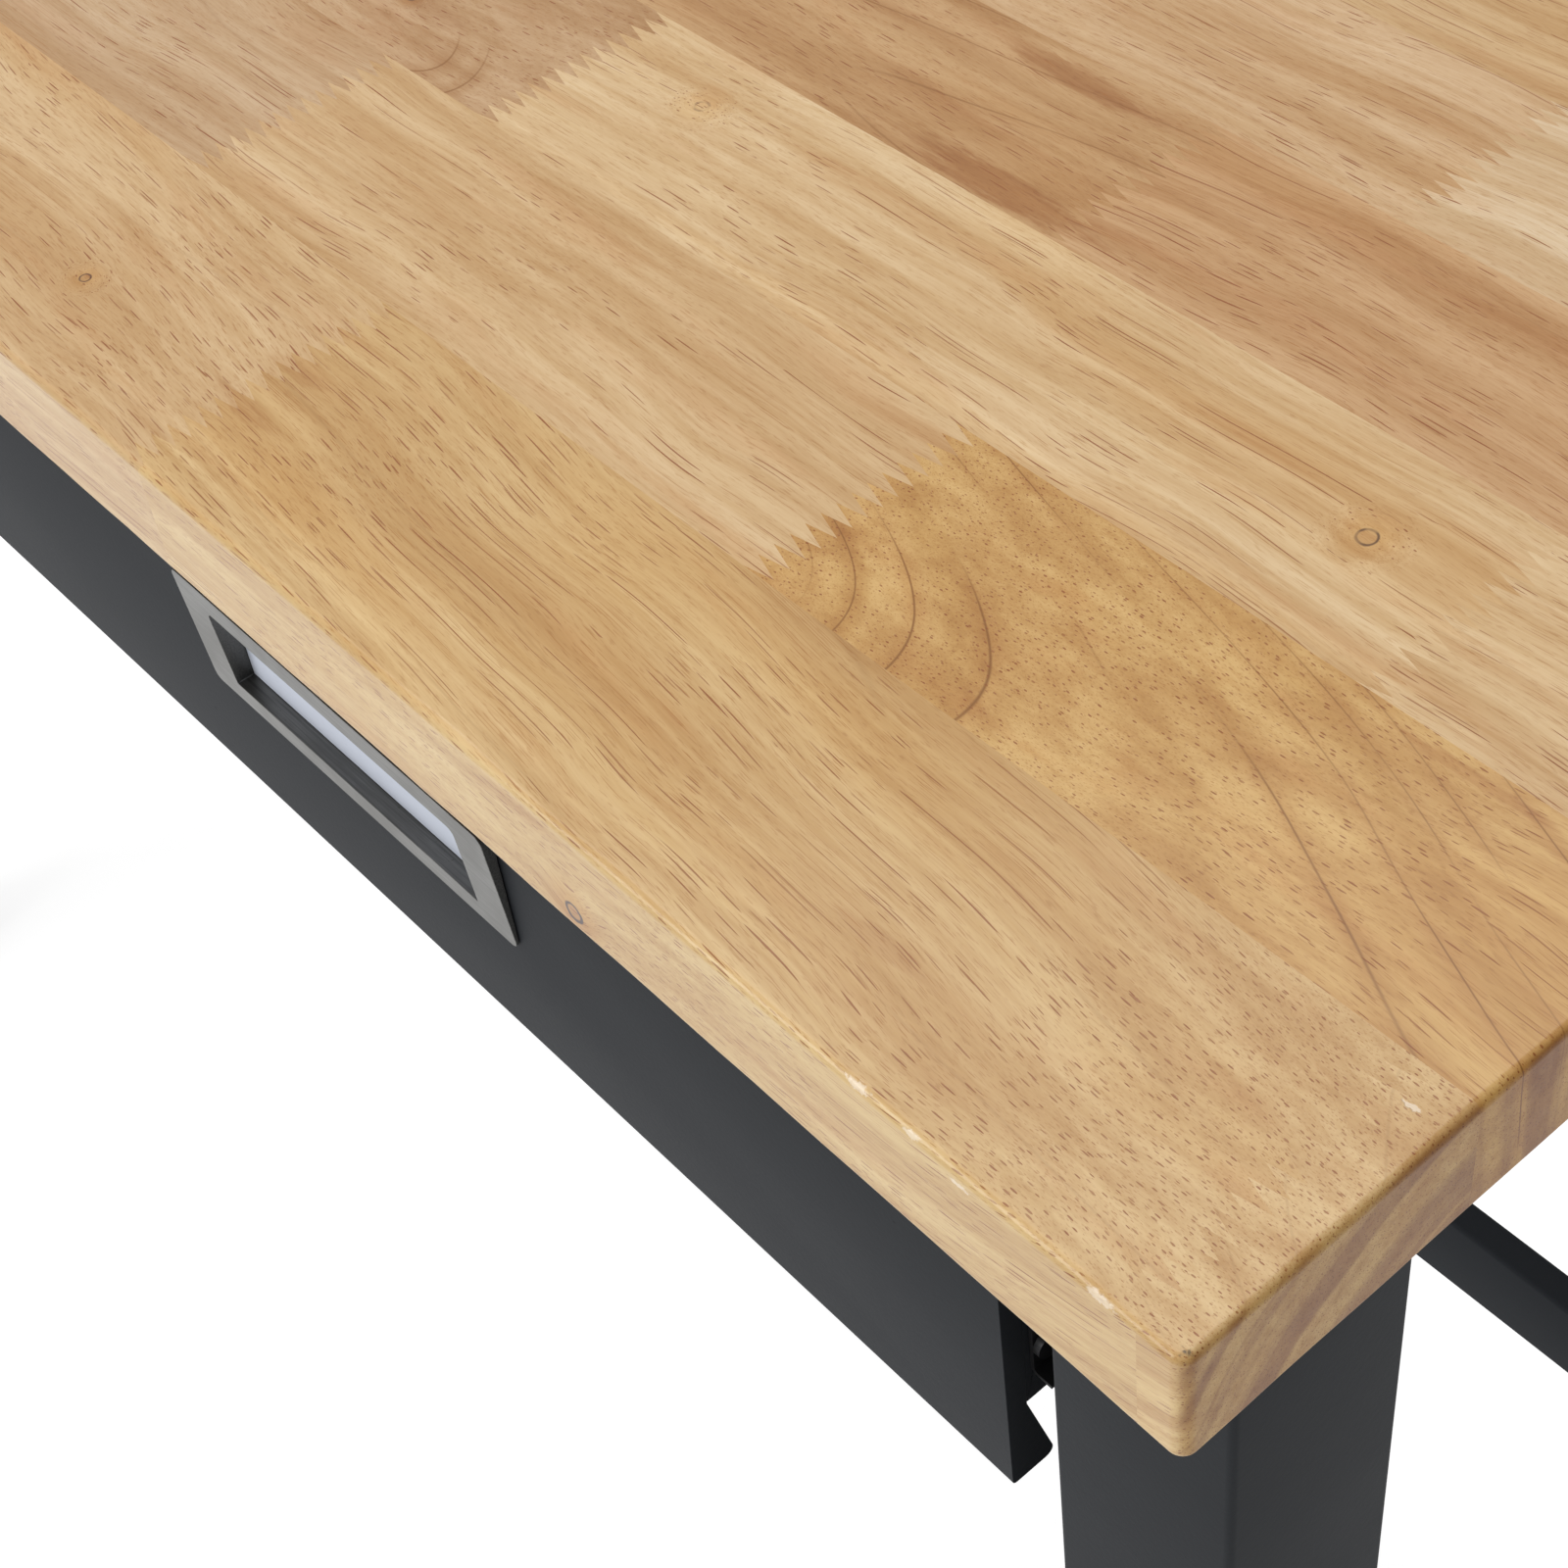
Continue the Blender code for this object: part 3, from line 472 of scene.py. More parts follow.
def make_top():
    """The top as one closed skin divided into its boards, each face knowing which board it is on."""
    staves = lay_out_staves()
    slab = rounded_slab("slab")
    whole = bmesh.new()
    heart = whole.faces.layers.float_vector.new("board_heart")
    grain = whole.faces.layers.float_vector.new("board_grain")
    run = whole.faces.layers.float_vector.new("board_run")
    flare = whole.faces.layers.float.new("board_flare")
    tone = whole.faces.layers.float_vector.new("board_tone")
    traits = whole.faces.layers.float_vector.new("board_traits")
    for number, (start, end, joints, boards) in enumerate(staves):
        ends = [TOP_LOW.x] + joints + [TOP_HIGH.x]
        for place, board in enumerate(boards):
            piece = intersected(board_blank(number, place, staves), slab)
            middle_x = (ends[place] + ends[place + 1]) / 2 if board.at is None else board.at
            middle_y = (start + end) / 2
            where = {vert: whole.verts.new(vert.co) for vert in piece.verts}
            for face in piece.faces:
                if is_inner_wall(face):
                    continue
                made = whole.faces.new([where[vert] for vert in face.verts])
                made.smooth = True
                made[heart] = (middle_x, middle_y + board.heart[0], TOP_HIGH.z + board.heart[1])
                made[grain] = (board.lean[0], board.lean[1], board.dive)
                made[run] = (board.slant, board.bend_at, board.bend)
                made[flare] = board.flare
                made[tone] = board.tone
                made[traits] = (board.figure, board.pores, board.seed)
            piece.free()
    bpy.data.objects.remove(slab)
    bmesh.ops.remove_doubles(whole, verts=whole.verts, dist=WELD)
    loose = [vert for vert in whole.verts if not vert.link_faces]
    bmesh.ops.delete(whole, geom=loose, context="VERTS")
    open_edges = sum(1 for edge in whole.edges if len(edge.link_faces) != 2)
    print("open or doubled edges in the top:", open_edges)
    top = mesh_object("wood_top", whole)
    top.data.set_sharp_from_angle(angle=math.radians(30))
    top.data.materials.append(rubberwood())
    steady = top.modifiers.new("steady_normals", "WEIGHTED_NORMAL")
    steady.weight = 100
    steady.keep_sharp = True
    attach(top, "frame")
    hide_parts("bench_top")
    return top


def rubberwood():
    """Lacquered rubberwood: rings, streaks, fine fibres, vessels that the faces cut at a slant, and knots."""
    g = Graph("rubberwood")
    heart = g.attribute("board_heart")["Vector"]
    lean_y, lean_z, dive = g.separate(g.attribute("board_grain")["Vector"])
    slant, bend_at, bend = g.separate(g.attribute("board_run")["Vector"])
    flare = g.attribute("board_flare")["Fac"]
    tone = g.attribute("board_tone")["Vector"]
    figure, pores, seed = g.separate(g.attribute("board_traits")["Vector"])
    offset = g.combine(seed, g.math("MULTIPLY", seed, 1.7), g.math("MULTIPLY", seed, 0.6))
    x, y, z = g.separate(g.vector("SUBTRACT", g.place, heart))

    # Knots: a halo, a thin ring and a core each, and how they push the grain aside
    ragged = g.math("MULTIPLY_ADD", g.noise(g.place, 170.0, 2.0), 0.6, -0.3)
    faded = g.ramp(g.noise(g.place, 210.0, 1.0), 0.40, 0.56)
    halo, ring, core, push = 0.0, 0.0, 0.0, 0.0
    for place, size, darkness in KNOTS:
        apart = g.math("DIVIDE", g.vector("DISTANCE", g.place, place), size)
        edge = g.math("ADD", apart, ragged)
        halo = g.math("ADD", halo, g.ramp(edge, 0.8, 4.5, 0.6 + 0.6 * darkness, 0.0))
        outline = g.math("MULTIPLY", g.ramp(edge, 0.66, 0.84), g.ramp(edge, 0.92, 1.10, 1.0, 0.0))
        ring = g.math("ADD", ring, g.math("MULTIPLY", outline, g.math("MULTIPLY_ADD", faded, 0.35, darkness)))
        core = g.math("ADD", core, g.ramp(edge, 0.6, 1.1, 0.3 * darkness, 0.0))
        push = g.math("ADD", push, g.ramp(apart, 0.0, 5.0, 0.006, 0.0))

    # Slow waves in the grain
    slow = g.vector("ADD", g.vector("MULTIPLY", g.place, (3.5, 8.0, 8.0)), offset)
    wave = g.separate(g.vector("SUBTRACT", g.noise(slow, 1.0, 2.0, coloured=True), (0.5, 0.5, 0.5)))
    ring_y = g.math("SUBTRACT", y, g.math("MULTIPLY", x, lean_y))
    ring_y = g.math("ADD", ring_y, g.math("MULTIPLY", wave[1], RING_SWAY))
    ring_z = g.math("SUBTRACT", z, g.math("MULTIPLY", x, lean_z))
    ring_z = g.math("ADD", ring_z, g.math("MULTIPLY", wave[2], RING_SWAY))
    ring_z = g.math("ADD", ring_z, push)
    flat = g.math("MAXIMUM", g.math("SUBTRACT", 1.0, g.math("MULTIPLY", flare, ring_y)), 0.0)
    ring_z = g.math("MULTIPLY", ring_z, flat)
    radius = g.vector("LENGTH", g.combine(ring_y, ring_z, 0.0))

    # Growth rings: broad soft bands, and thin dark lines where the figure is strong
    band_at = g.combine(g.math("MULTIPLY", radius, 95.0), seed, g.math("MULTIPLY", x, 1.2))
    band = g.noise(band_at, 1.0, 3.0, 0.6)
    line_at = g.node("ShaderNodeTexVoronoi", {"W": g.math("MULTIPLY_ADD", radius, 80.0, seed), "Scale": 1.0},
                     voronoi_dimensions="1D", feature="DISTANCE_TO_EDGE").outputs["Distance"]
    line_fade = g.ramp(g.noise(slow, 3.0, 1.0), 0.36, 0.58)
    line_strength = g.math("MULTIPLY", line_fade, g.math("MULTIPLY", figure, figure))
    line = g.math("MULTIPLY", g.ramp(line_at, 0.0, 0.028, 1.0, 0.0), line_strength)
    line_shade = g.math("MULTIPLY", g.ramp(line_at, 0.0, 0.30, 1.0, 0.0), line_strength)

    # The way the fibres run: across the top at a slant, and down into it
    quick = g.vector("ADD", g.vector("MULTIPLY", g.place, (6.0, 11.0, 11.0)), offset)
    sway = g.separate(g.vector("SUBTRACT", g.noise(quick, 1.0, 2.0, coloured=True), (0.5, 0.5, 0.5)))
    past = g.math("MAXIMUM", g.math("SUBTRACT", x, bend_at), 0.0)
    fibre_y = g.math("SUBTRACT", g.math("MULTIPLY_ADD", sway[1], 0.026, y), g.math("MULTIPLY", x, slant))
    fibre_z = g.math("SUBTRACT", g.math("MULTIPLY_ADD", sway[2], 0.010, z), g.math("MULTIPLY", x, dive))
    fibre_z = g.math("SUBTRACT", fibre_z, g.math("MULTIPLY", g.math("MULTIPLY", past, past), bend))
    fibre_z = g.math("ADD", fibre_z, push)

    # Streaks and fibres along the grain
    along = g.vector("ADD", g.combine(x, fibre_y, fibre_z), offset)
    streak = g.noise(g.vector("MULTIPLY", along, (3.0, 80.0, 80.0)), 1.0, 4.0, 0.65)
    fine_streak = g.noise(g.vector("MULTIPLY", along, (10.0, 300.0, 300.0)), 1.0, 3.0, 0.6)
    fibre = g.noise(g.vector("MULTIPLY", along, (70.0, 1500.0, 1500.0)), 1.0, 2.0, 0.6)
    patch = g.noise(g.vector("MULTIPLY", along, (6.0, 20.0, 20.0)), 1.0, 2.0, 0.5)
    blush = g.noise(g.vector("MULTIPLY", along, (11.0, 90.0, 90.0)), 1.0, 3.0, 0.6)

    # Vessels: tubes that follow the fibres, so a face that they cross at a slant shows them as dashes
    crowd = g.ramp(g.noise(g.vector("MULTIPLY", along, (5.0, 70.0, 70.0)), 1.0, 2.0), 0.34, 0.66, -0.35, 0.35)
    share = g.math("ADD", g.math("MULTIPLY", pores, 0.85), crowd, clamp=True)
    vessels = vessel_marks(g, fibre_y, fibre_z, seed, 800.0, 0.085, share)
    hair_vessels = vessel_marks(g, fibre_y, fibre_z, seed, 1400.0, 0.080, g.math("MULTIPLY", pores, 0.9))
    fleck = g.ramp(g.noise(g.vector("MULTIPLY", along, (230.0, 2900.0, 2900.0)), 1.0, 1.0), 0.58, 0.70)

    # Places where the figure is darker or paler than the rest of its board
    crackle = g.noise(g.vector("MULTIPLY", g.place, (60.0, 420.0, 420.0)), 1.0, 3.0, 0.65)
    crackle = g.math("MULTIPLY_ADD", crackle, 1.5, -0.75)
    shade, pale = 0.0, 0.0
    for place, half_length, half_width, strength in SHADES:
        shares = (1 / half_length, 1 / half_width, 1 / half_width)
        apart = g.vector("LENGTH", g.vector("MULTIPLY", g.vector("SUBTRACT", g.place, place), shares))
        near = g.ramp(g.math("ADD", apart, crackle), 0.55, 1.15, abs(strength), 0.0)
        if strength > 0:
            shade = g.math("MAXIMUM", shade, near)
        else:
            pale = g.math("MAXIMUM", pale, near)

    # Colours, from the broad to the fine
    colour = g.mix(g.ramp(streak, 0.34, 0.66), g.mix(1.0, tone, (0.88, 0.82, 0.69), "MULTIPLY"),
                   g.mix(1.0, tone, (1.10, 1.18, 1.25), "MULTIPLY"))
    colour = g.tint(g.ramp(patch, 0.50, 0.74, 0.0, 0.55), colour, (0.94, 0.83, 0.62))
    colour = g.tint(g.ramp(blush, 0.50, 0.74, 0.0, 0.45), colour, (0.92, 0.78, 0.66))
    band_share = g.math("MULTIPLY", g.ramp(band, 0.42, 0.66), g.math("MULTIPLY_ADD", figure, 0.50, 0.15))
    colour = g.tint(band_share, colour, (0.83, 0.74, 0.55))
    colour = g.tint(g.ramp(fine_streak, 0.42, 0.75, 0.0, 0.6), colour, (0.83, 0.73, 0.56))
    colour = g.tint(g.ramp(fibre, 0.35, 0.75, 0.0, 0.45), colour, (0.84, 0.75, 0.64))
    colour = g.tint(g.math("MULTIPLY", fleck, 0.55), colour, (0.74, 0.60, 0.44))
    colour = g.tint(shade, colour, (0.74, 0.57, 0.38))
    colour = g.tint(pale, colour, (1.14, 1.20, 1.28))
    colour = g.tint(g.math("MULTIPLY", line_shade, 0.55), colour, (0.78, 0.62, 0.42))
    colour = g.mix(g.math("MULTIPLY", line, 0.90), colour, srgb(124, 76, 12))
    colour = g.mix(g.math("MULTIPLY", hair_vessels, 0.60), colour, srgb(150, 90, 14))
    colour = g.mix(g.math("MULTIPLY", vessels, 0.88), colour, srgb(132, 66, 4))
    colour = g.tint(g.math("MULTIPLY", halo, 0.75), colour, (0.88, 0.72, 0.42))
    colour = g.mix(core, colour, srgb(126, 68, 26))
    colour = g.mix(ring, colour, srgb(58, 24, 6))

    # Cut ends drink more lacquer, so they are darker, banded brown and cream along the rings; part of this
    # darkening is painted shade for the dimly lit end faces
    outwards = g.separate(g.node("ShaderNodeNewGeometry").outputs["Normal"])
    end_grain_and_shade = g.ramp(g.math("ABSOLUTE", outwards[0]), 0.35, 0.95)
    colour = g.mix(end_grain_and_shade, colour, g.mix(1.0, colour, g.mix(g.ramp(band, 0.40, 0.58), (0.80, 0.72, 0.50),
                                                             (0.54, 0.39, 0.22)), "MULTIPLY"))
    sawn_edge = g.ramp(g.math("ABSOLUTE", outwards[1]), 0.35, 0.95)
    colour = g.tint(sawn_edge, colour, (0.92, 0.94, 0.86))

    # Lacquer chips: crazed white on the arris, and one dark dent at the corner
    crazing = g.math("MULTIPLY_ADD", g.noise(g.place, 900.0, 2.0), 1.6, -0.8)
    chips = 0.0
    for place, size in CHIPS:
        apart = g.vector("MULTIPLY", g.vector("SUBTRACT", g.place, place), (0.3 / size, 1 / size, 1 / size))
        apart = g.math("ADD", g.vector("LENGTH", apart), crazing)
        chips = g.math("MAXIMUM", chips, g.ramp(apart, 0.55, 1.0, 1.0, 0.0))
    dent = g.math("DIVIDE", g.vector("DISTANCE", g.place, CORNER_CHIP), CORNER_CHIP_SIZE)
    dent = g.ramp(g.math("ADD", dent, crazing), 0.5, 0.9, 1.0, 0.0)
    colour = g.mix(g.math("MULTIPLY", chips, 0.5), colour, srgb(236, 224, 206))
    colour = g.mix(g.math("MULTIPLY", dent, 0.8), colour, srgb(52, 44, 38))

    # Lacquer over it, sunk a little into the vessels
    broken = g.math("ADD", chips, dent)
    depth = g.math("ADD", g.math("MULTIPLY", vessels, -1.0), g.math("MULTIPLY", fibre, 0.25))
    ripple = g.math("MULTIPLY", g.noise(g.place, 160.0, 2.0), 0.9)
    relief = g.math("SUBTRACT", g.math("ADD", depth, ripple), g.math("MULTIPLY", broken, 3.0))
    normal = g.bump(relief, 0.00006, 0.6)
    coat_relief = g.math("SUBTRACT", g.math("MULTIPLY_ADD", vessels, -0.6, ripple), broken)
    coat_normal = g.bump(coat_relief, 0.00005, 0.5)
    roughness = g.math("MULTIPLY_ADD", fine_streak, 0.12, 0.40)
    lacquer = g.math("MULTIPLY_ADD", end_grain_and_shade, -0.42, 0.5)
    return g.finish(Base_Color=colour, Roughness=roughness, Normal=normal, Coat_Weight=lacquer,
                    Coat_Roughness=0.16, Coat_Normal=coat_normal, Specular_IOR_Level=0.28)


def vessel_marks(g, fibre_y, fibre_z, seed, scale, width, share):
    """1 inside a vessel and 0 outside: scattered tubes, of which only a share is there."""
    across = g.combine(g.math("MULTIPLY_ADD", fibre_y, scale, seed), g.math("MULTIPLY", fibre_z, scale), 0.0)
    cells = g.node("ShaderNodeTexVoronoi", {"Vector": across, "Scale": 1.0}, voronoi_dimensions="2D").outputs
    pick = g.separate(cells["Color"])
    there = g.math("LESS_THAN", pick[0], share)
    own_width = g.math("MULTIPLY_ADD", pick[1], width, width)
    edge = g.math("SUBTRACT", cells["Distance"], own_width)
    inside = g.ramp(edge, -0.015, 0.02, 1.0, 0.0)
    return g.math("MULTIPLY", g.math("MULTIPLY", inside, there), g.math("MULTIPLY_ADD", pick[2], 0.45, 0.55))


# ---------------------------------------------------------------- other materials

def powder_coat():
    """Satin dark grey powder coat: orange peel, a fine speckle and faint rubbing."""
    g = Graph("powder_coat")
    peel = g.noise(g.place, 520.0, 3.0, 0.55)
    grit = g.noise(g.place, 2600.0, 1.0)
    rub = g.noise(g.vector("MULTIPLY", g.place, (6.0, 6.0, 14.0)), 1.0, 5.0, 0.6)
    colour = g.mix(g.ramp(grit, 0.45, 0.75, 0.0, 0.5), srgb(36, 38, 41), srgb(42, 44, 47))
    colour = g.mix(g.ramp(rub, 0.55, 0.75, 0.0, 0.25), colour, srgb(46, 48, 51))
    nibs = g.node("ShaderNodeTexVoronoi", {"Vector": g.place, "Scale": 26.0}).outputs
    nib = g.math("MULTIPLY", g.ramp(nibs["Distance"], 0.014, 0.022, 1.0, 0.0),
                 g.math("LESS_THAN", g.separate(nibs["Color"])[0], 0.4))
    colour = g.mix(g.math("MULTIPLY", nib, 0.7), colour, srgb(14, 15, 17))
    roughness = g.math("ADD", g.math("MULTIPLY_ADD", rub, 0.10, 0.44), g.math("MULTIPLY", grit, 0.10))
    height = g.math("MULTIPLY_ADD", grit, 0.3, peel)
    return g.finish(Base_Color=colour, Roughness=roughness, Normal=g.bump(height, 0.00008, 0.55),
                    Specular_IOR_Level=0.05, Specular_Tint=(0.55, 0.57, 0.60, 1.0))


def slide_steel():
    """Black electro-coated sheet steel with scuffs along its travel."""
    g = Graph("slide_steel")
    scuff = g.noise(g.vector("MULTIPLY", g.place, (900.0, 9.0, 900.0)), 1.0, 3.0)
    cloud = g.noise(g.place, 60.0, 3.0)
    colour = g.mix(g.ramp(scuff, 0.60, 0.78, 0.0, 0.6), srgb(27, 27, 28), srgb(70, 70, 70))
    roughness = g.math("MULTIPLY_ADD", cloud, 0.2, 0.25)
    return g.finish(Base_Color=colour, Roughness=roughness, Metallic=0.25,
                    Normal=g.bump(scuff, 0.00003, 0.5))


def satin_nickel():
    """Satin nickel plate, brushed along its length, with a few dull specks."""
    g = Graph("satin_nickel")
    brushed = g.noise(g.vector("MULTIPLY", g.place, (40.0, 1800.0, 1800.0)), 1.0, 3.0, 0.6)
    speck = g.noise(g.place, 330.0, 4.0, 0.65)
    cloud = g.noise(g.place, 45.0, 3.0)
    colour = g.mix(g.ramp(brushed, 0.3, 0.7), (0.125, 0.123, 0.118), (0.20, 0.198, 0.188))
    colour = g.mix(g.ramp(cloud, 0.40, 0.62, 0.0, 0.45), colour, (0.112, 0.109, 0.101))
    colour = g.mix(g.ramp(speck, 0.66, 0.74, 0.0, 0.7), colour, (0.10, 0.095, 0.08))
    roughness = g.math("ADD", g.math("MULTIPLY_ADD", cloud, 0.15, 0.28), g.math("MULTIPLY", brushed, 0.10))
    return g.finish(Base_Color=colour, Roughness=roughness, Metallic=1.0,
                    Normal=g.bump(brushed, 0.00002, 0.5))


def zinc_plate():
    """Bright zinc plate, slightly clouded."""
    g = Graph("zinc_plate")
    cloud = g.noise(g.place, 140.0, 4.0, 0.6)
    colour = g.mix(g.ramp(cloud, 0.35, 0.65), (0.42, 0.42, 0.40), (0.60, 0.60, 0.57))
    return g.finish(Base_Color=colour, Roughness=g.math("MULTIPLY_ADD", cloud, 0.25, 0.22), Metallic=1.0,
                    Normal=g.bump(g.noise(g.place, 1500.0, 2.0), 0.00002, 0.4))


def card_stock():
    """Plain white card with a faint tooth."""
    g = Graph("card_stock")
    tooth = g.noise(g.place, 2200.0, 3.0, 0.6)
    flock = g.noise(g.vector("MULTIPLY", g.place, (300.0, 300.0, 1400.0)), 1.0, 2.0)
    colour = g.mix(g.ramp(flock, 0.5, 0.8, 0.0, 0.4), srgb(184, 189, 200), srgb(172, 177, 190))
    return g.finish(Base_Color=colour, Roughness=0.75, Normal=g.bump(tooth, 0.00004, 0.5),
                    Specular_IOR_Level=0.3)


def nylon():
    """Black moulded nylon with a fine spark-eroded texture."""
    g = Graph("nylon")
    spark = g.noise(g.place, 2000.0, 2.0, 0.6)
    dust = g.noise(g.place, 90.0, 4.0, 0.6)
    colour = g.mix(g.ramp(dust, 0.55, 0.75, 0.0, 0.5), srgb(30, 30, 31), srgb(58, 56, 53))
    return g.finish(Base_Color=colour, Roughness=g.math("MULTIPLY_ADD", dust, 0.2, 0.45),
                    Normal=g.bump(spark, 0.00005, 0.6))


def studio_floor():
    """The pale floor: matte, with the faintest unevenness."""
    g = Graph("studio_floor")
    cloud = g.noise(g.place, 1.5, 3.0)
    return g.finish(Base_Color=g.mix(cloud, (0.44, 0.44, 0.44), (0.47, 0.47, 0.47)), Roughness=0.9,
                    Specular_IOR_Level=0.1, Emission_Color=(1.0, 1.0, 1.0, 1.0), Emission_Strength=0.72)


# ---------------------------------------------------------------- carried-over parts

def soften_group():
    """A modifier group that welds a faceted part and shades it smooth except across sharp edges."""
    group = bpy.data.node_groups.new("smooth_by_angle", "GeometryNodeTree")
    group.interface.new_socket("Geometry", in_out="INPUT", socket_type="NodeSocketGeometry")
    group.interface.new_socket("Geometry", in_out="OUTPUT", socket_type="NodeSocketGeometry")
    make = group.nodes.new
    start = make("NodeGroupInput")
    end = make("NodeGroupOutput")
    weld = make("GeometryNodeMergeByDistance")
    weld.inputs["Distance"].default_value = 1e-5
    smooth = make("GeometryNodeSetShadeSmooth")
    sharp = make("GeometryNodeSetShadeSmooth")
    sharp.domain = "EDGE"
    sharp.inputs["Shade Smooth"].default_value = False
    angle = make("GeometryNodeInputMeshEdgeAngle")
    steep = make("FunctionNodeCompare")
    steep.operation = "GREATER_THAN"
    steep.inputs["B"].default_value = math.radians(32)
    link = group.links.new
    link(start.outputs[0], weld.inputs["Geometry"])
    link(weld.outputs[0], smooth.inputs["Geometry"])
    link(smooth.outputs[0], sharp.inputs["Geometry"])
    link(angle.outputs["Unsigned Angle"], steep.inputs["A"])
    link(steep.outputs[0], sharp.inputs["Selection"])
    link(sharp.outputs[0], end.inputs[0])
    return group


def dress(names, material, soften, bevel=0.0):
    """Gives CAD parts their material, smooth round faces and, where asked, softened edges."""
    for name in names:
        part = NODES[name]
        part.data.materials.clear()
        part.data.materials.append(material)
        smooth = part.modifiers.new("smooth", "NODES")
        smooth.node_group = soften
        if bevel:
            edge = part.modifiers.new("edge", "BEVEL")
            edge.width = bevel
            edge.segments = 2
            edge.limit_method = "ANGLE"
            edge.angle_limit = math.radians(40)
            edge.harden_normals = True


def dress_parts():
    """Every CAD part that stays, by its slot in the record. Returns the materials that added pieces share."""
    soften = soften_group()
    slots = {}
    for part in frame["record"]["subparts"]:
        slots.setdefault(part["material_slot"], []).append(part["node"])
    shared = {"powder_coat": powder_coat(), "zinc": zinc_plate()}
    dress(slots["powder_coat"], shared["powder_coat"], soften, 0.0003)
    dress(slots["slide_steel"], slide_steel(), soften)
    dress(slots["zinc"], shared["zinc"], soften, 0.0003)
    dress(slots["nickel"], satin_nickel(), soften, 0.00025)
    dress(slots["card"], card_stock(), soften)
    dress(slots["foot_plastic"], nylon(), soften, 0.0004)
    return shared


# ---------------------------------------------------------------- added pieces

def add_piece(name, mesh, body, slot, shared):
    """One more piece that rides on a body and takes its finish from a slot."""
    piece = mesh_object(name, mesh)
    for polygon in piece.data.polygons:
        polygon.use_smooth = True
    piece.data.set_sharp_from_angle(angle=math.radians(40))
    piece.data.materials.append(shared[slot])
    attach(piece, body)


def ball_row(x, front, level, ball_radius):
    """A row of bearing balls along Y in their flat retainer."""
    mesh = bmesh.new()
    for ball in range(BALLS_IN_ROW):
        place = Matrix.Translation((x, front + ball * BALL_SPACING, level))
        bmesh.ops.create_icosphere(mesh, subdivisions=2, radius=ball_radius, matrix=place)
    span = (BALLS_IN_ROW - 1) * BALL_SPACING
    middle = Matrix.Translation((x, front + span / 2, level))
    size = Matrix.Diagonal((RETAINER_WIDTH, span + 2 * RETAINER_MARGIN, RETAINER_SHEET, 1.0))
    bmesh.ops.create_cube(mesh, size=1.0, matrix=middle @ size)
    return mesh


def add_slide_balls(shared):
    """Two pairs of ball rows in each slide: outside its middle member and inside it."""
    for side in ("left", "right"):
        for which in ("outer", "inner"):
            low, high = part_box(f"{side}_{which}_slide_fixed")
            wall_is_low = (side == "left") == (which == "outer")
            wall, towards = (low.x, 1) if wall_is_low else (high.x, -1)
            for row, body, reach, lift, radius in BALL_ROWS:
                for place, sign in (("upper", 1), ("lower", -1)):
                    level = (low.z + high.z) / 2 + sign * lift
                    mesh = ball_row(wall + towards * reach, low.y + BALL_ROW_SETBACK, level, radius)
                    name = f"{side}_{which}_slide_{row}_{place}_balls"
                    add_piece(name, mesh, body.format(side=side), "zinc", shared)


def member_outline(node, axis, at_high, under_top):
    """The path round a square tube's end face. Under the top it is open: down one side, across, and up."""
    low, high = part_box(node)
    across = 1 - axis
    place = high[axis] if at_high else low[axis]
    corners = ((low[across], low.z, 1, 1), (high[across], low.z, -1, 1), (high[across], high.z, -1, -1),
               (low[across], high.z, 1, -1))
    flat = []
    for quarter, (a, z, side_a, side_z) in enumerate(corners[:2] if under_top else corners):
        for step in range(WELD_CORNER_STEPS + 1):
            turn = math.pi / 2 * (quarter + 2 + step / WELD_CORNER_STEPS)
            flat.append((a + WELD_CORNER * (side_a + math.cos(turn)),
                         z + WELD_CORNER * (side_z + math.sin(turn))))
    if under_top:
        end = high.z - WELD_END_DROP
        flat = [(low[across], end)] + flat + [(high[across], end)]
    else:
        flat.append(flat[0])
    return [Vector((place, a, z) if axis == 0 else (a, place, z)) for a, z in flat]


def spaced(path, step):
    """Points at an even spacing of about one step along a path, its two ends included."""
    lengths = [(after - before).length for before, after in zip(path, path[1:])]
    count = round(sum(lengths) / step)
    points = []
    leg = 0
    passed = 0.0
    for at in range(count + 1):
        along = sum(lengths) * at / count
        while leg < len(lengths) - 1 and along > passed + lengths[leg]:
            passed += lengths[leg]
            leg += 1
        points.append(path[leg].lerp(path[leg + 1], (along - passed) / lengths[leg]))
    return points


def weld_bead(path, axis, closed):
    """A rippled bead along a path that lies square to an axis, half buried in what it joins."""
    points = spaced(path, WELD_STEP)
    if closed:
        points.pop()
    outwards = Vector((1, 0, 0) if axis == 0 else (0, 1, 0))
    mesh = bmesh.new()
    rings = []
    for at, point in enumerate(points):
        is_end = not closed and at in (0, len(points) - 1)
        before = points[max(at - 1, 0)] if not closed else points[at - 1]
        after = points[min(at + 1, len(points) - 1)] if not closed else points[(at + 1) % len(points)]
        beside = (after - before).normalized().cross(outwards)
        ripple = WELD_RIPPLE * math.sin(math.tau * at * WELD_STEP / WELD_PITCH)
        radius = WELD_RADIUS * (1 + ripple + WELD_WAVER * noise.noise(point * 160)) * (0.4 if is_end else 1.0)
        turns = [math.tau * side / WELD_SIDES for side in range(WELD_SIDES)]
        rings.append([mesh.verts.new(point + radius * (outwards * math.cos(turn) + beside * math.sin(turn)))
                      for turn in turns])
    for ring, following in zip(rings, rings[1:] + (rings[:1] if closed else [])):
        for side in range(WELD_SIDES):
            beyond = (side + 1) % WELD_SIDES
            mesh.faces.new((ring[side], ring[beyond], following[beyond], following[side]))
    if not closed:
        mesh.faces.new(list(reversed(rings[0])))
        mesh.faces.new(rings[-1])
    bmesh.ops.recalc_face_normals(mesh, faces=mesh.faces)
    return mesh


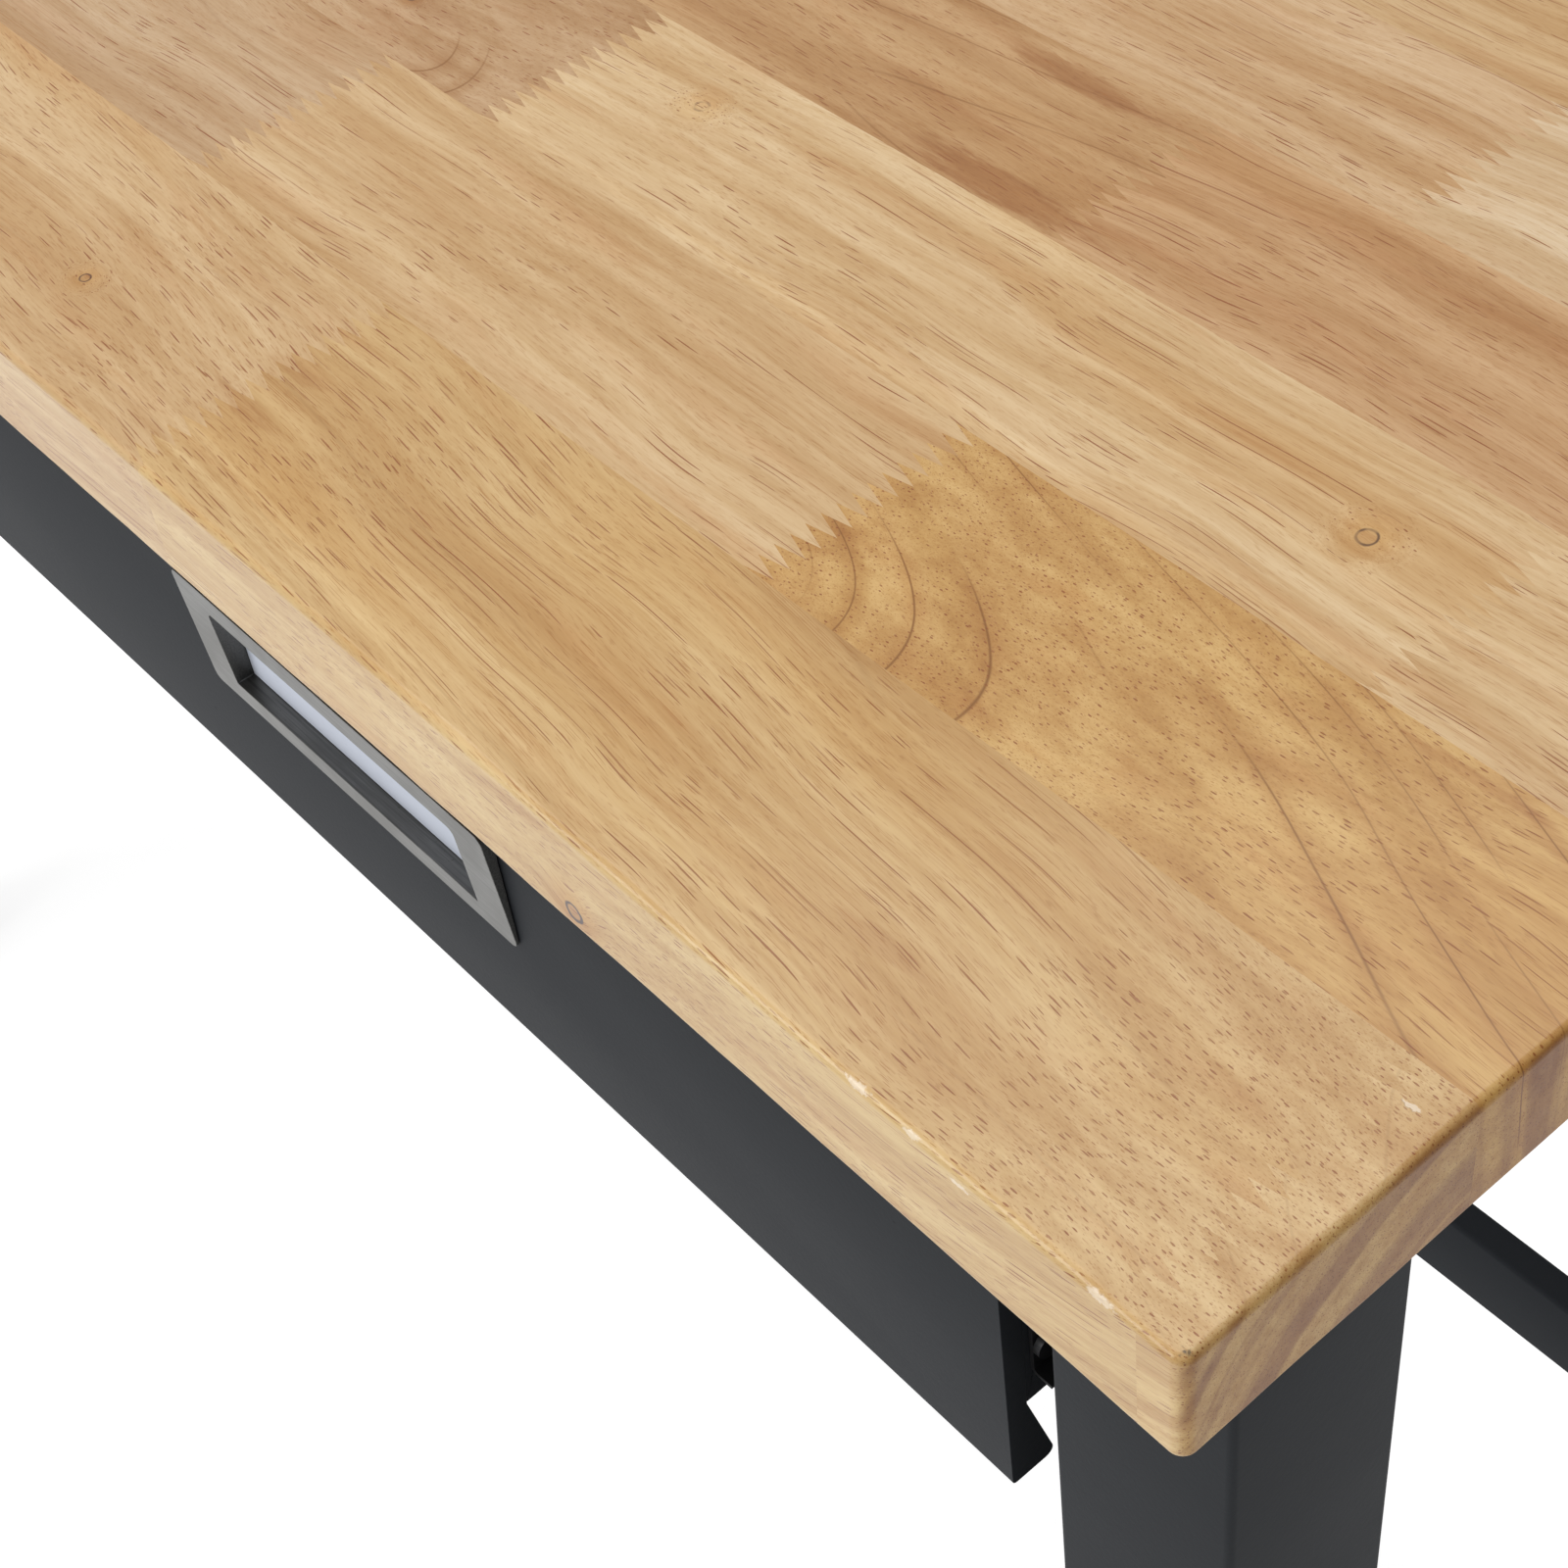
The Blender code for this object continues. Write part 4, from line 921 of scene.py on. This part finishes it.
def add_welds(shared):
    """Beads round both ends of the rails and stretchers that are welded to the legs."""
    members = (("left_side_rail", 1, True), ("right_side_rail", 1, True), ("rear_rail", 0, True),
               ("left_side_stretcher", 1, False), ("right_side_stretcher", 1, False))
    for node, axis, under_top in members:
        for end, at_high in (("low", False), ("high", True)):
            path = member_outline(node, axis, at_high, under_top)
            mesh = weld_bead(path, axis, not under_top)
            add_piece(f"{node}_{end}_end_weld", mesh, "frame", "powder_coat", shared)


# ---------------------------------------------------------------- studio

def make_floor():
    bpy.ops.mesh.primitive_plane_add(size=40.0, location=(0, 0, 0))
    floor = bpy.context.object
    floor.name = "studio_floor"
    floor.data.materials.append(studio_floor())


def area_light(name, place, aim, size, power, colour=(1.0, 1.0, 1.0)):
    data = bpy.data.lights.new(name, "AREA")
    data.shape = "RECTANGLE"
    data.size, data.size_y = size
    data.energy = power
    data.color = colour
    light = bpy.data.objects.new(name, data)
    light.location = place
    light.rotation_euler = (Vector(aim) - Vector(place)).to_track_quat("-Z", "Y").to_euler()
    bpy.context.scene.collection.objects.link(light)


def make_world():
    """White where the camera sees it. Its light is strongest from above and from the front left."""
    world = bpy.data.worlds.new("studio")
    world.use_nodes = True
    tree = world.node_tree
    tree.nodes.clear()
    make = tree.nodes.new
    link = tree.links.new
    direction = make("ShaderNodeTexCoord").outputs["Generated"]
    facing = make("ShaderNodeVectorMath")
    facing.operation = "DOT_PRODUCT"
    facing.inputs[1].default_value = SKY_FAVOURS
    link(direction, facing.inputs[0])
    strength = make("ShaderNodeMath")
    strength.operation = "ADD"
    strength.inputs[1].default_value = SKY_STRENGTH
    strength.use_clamp = True
    link(facing.outputs["Value"], strength.inputs[0])
    seen = make("ShaderNodeLightPath").outputs["Is Camera Ray"]
    shown = make("ShaderNodeMath")
    shown.operation = "MAXIMUM"
    link(strength.outputs[0], shown.inputs[0])
    link(seen, shown.inputs[1])
    background = make("ShaderNodeBackground")
    background.inputs["Color"].default_value = (1.0, 1.0, 1.0, 1.0)
    link(shown.outputs[0], background.inputs["Strength"])
    link(background.outputs[0], make("ShaderNodeOutputWorld").inputs["Surface"])
    bpy.context.scene.world = world


def make_lights():
    area_light("overhead", (-0.4, 0.3, 3.4), (0.0, 0.0, 0.9), (2.6, 2.0), 38.0)
    area_light("front", (-0.7, -3.1, 2.1), (0.1, 0.0, 0.8), (2.2, 1.6), 52.0)


def make_camera():
    corner = Vector((TOP_HIGH.x, TOP_LOW.y, TOP_HIGH.z))
    back = Vector((math.cos(CAMERA_ELEVATION) * math.sin(CAMERA_AZIMUTH),
                   -math.cos(CAMERA_ELEVATION) * math.cos(CAMERA_AZIMUTH), math.sin(CAMERA_ELEVATION)))
    level = Vector((math.cos(CAMERA_AZIMUTH), math.sin(CAMERA_AZIMUTH), 0.0))
    above = back.cross(level)
    right = level * math.cos(CAMERA_ROLL) + above * math.sin(CAMERA_ROLL)
    up = back.cross(right)
    data = bpy.data.cameras.new("camera")
    data.lens = CAMERA_LENS
    data.sensor_width = CAMERA_SENSOR
    data.clip_end = 100.0
    camera = bpy.data.objects.new("camera", data)
    turn = Matrix((right, up, back)).transposed().to_4x4()
    camera.matrix_world = Matrix.Translation(corner + CAMERA_FROM_CORNER) @ turn
    bpy.context.scene.collection.objects.link(camera)
    bpy.context.scene.camera = camera


make_camera()
make_world()
make_lights()
make_floor()
finishes = dress_parts()
make_top()
add_slide_balls(finishes)
add_welds(finishes)
bpy.context.scene.view_settings.view_transform = "Standard"
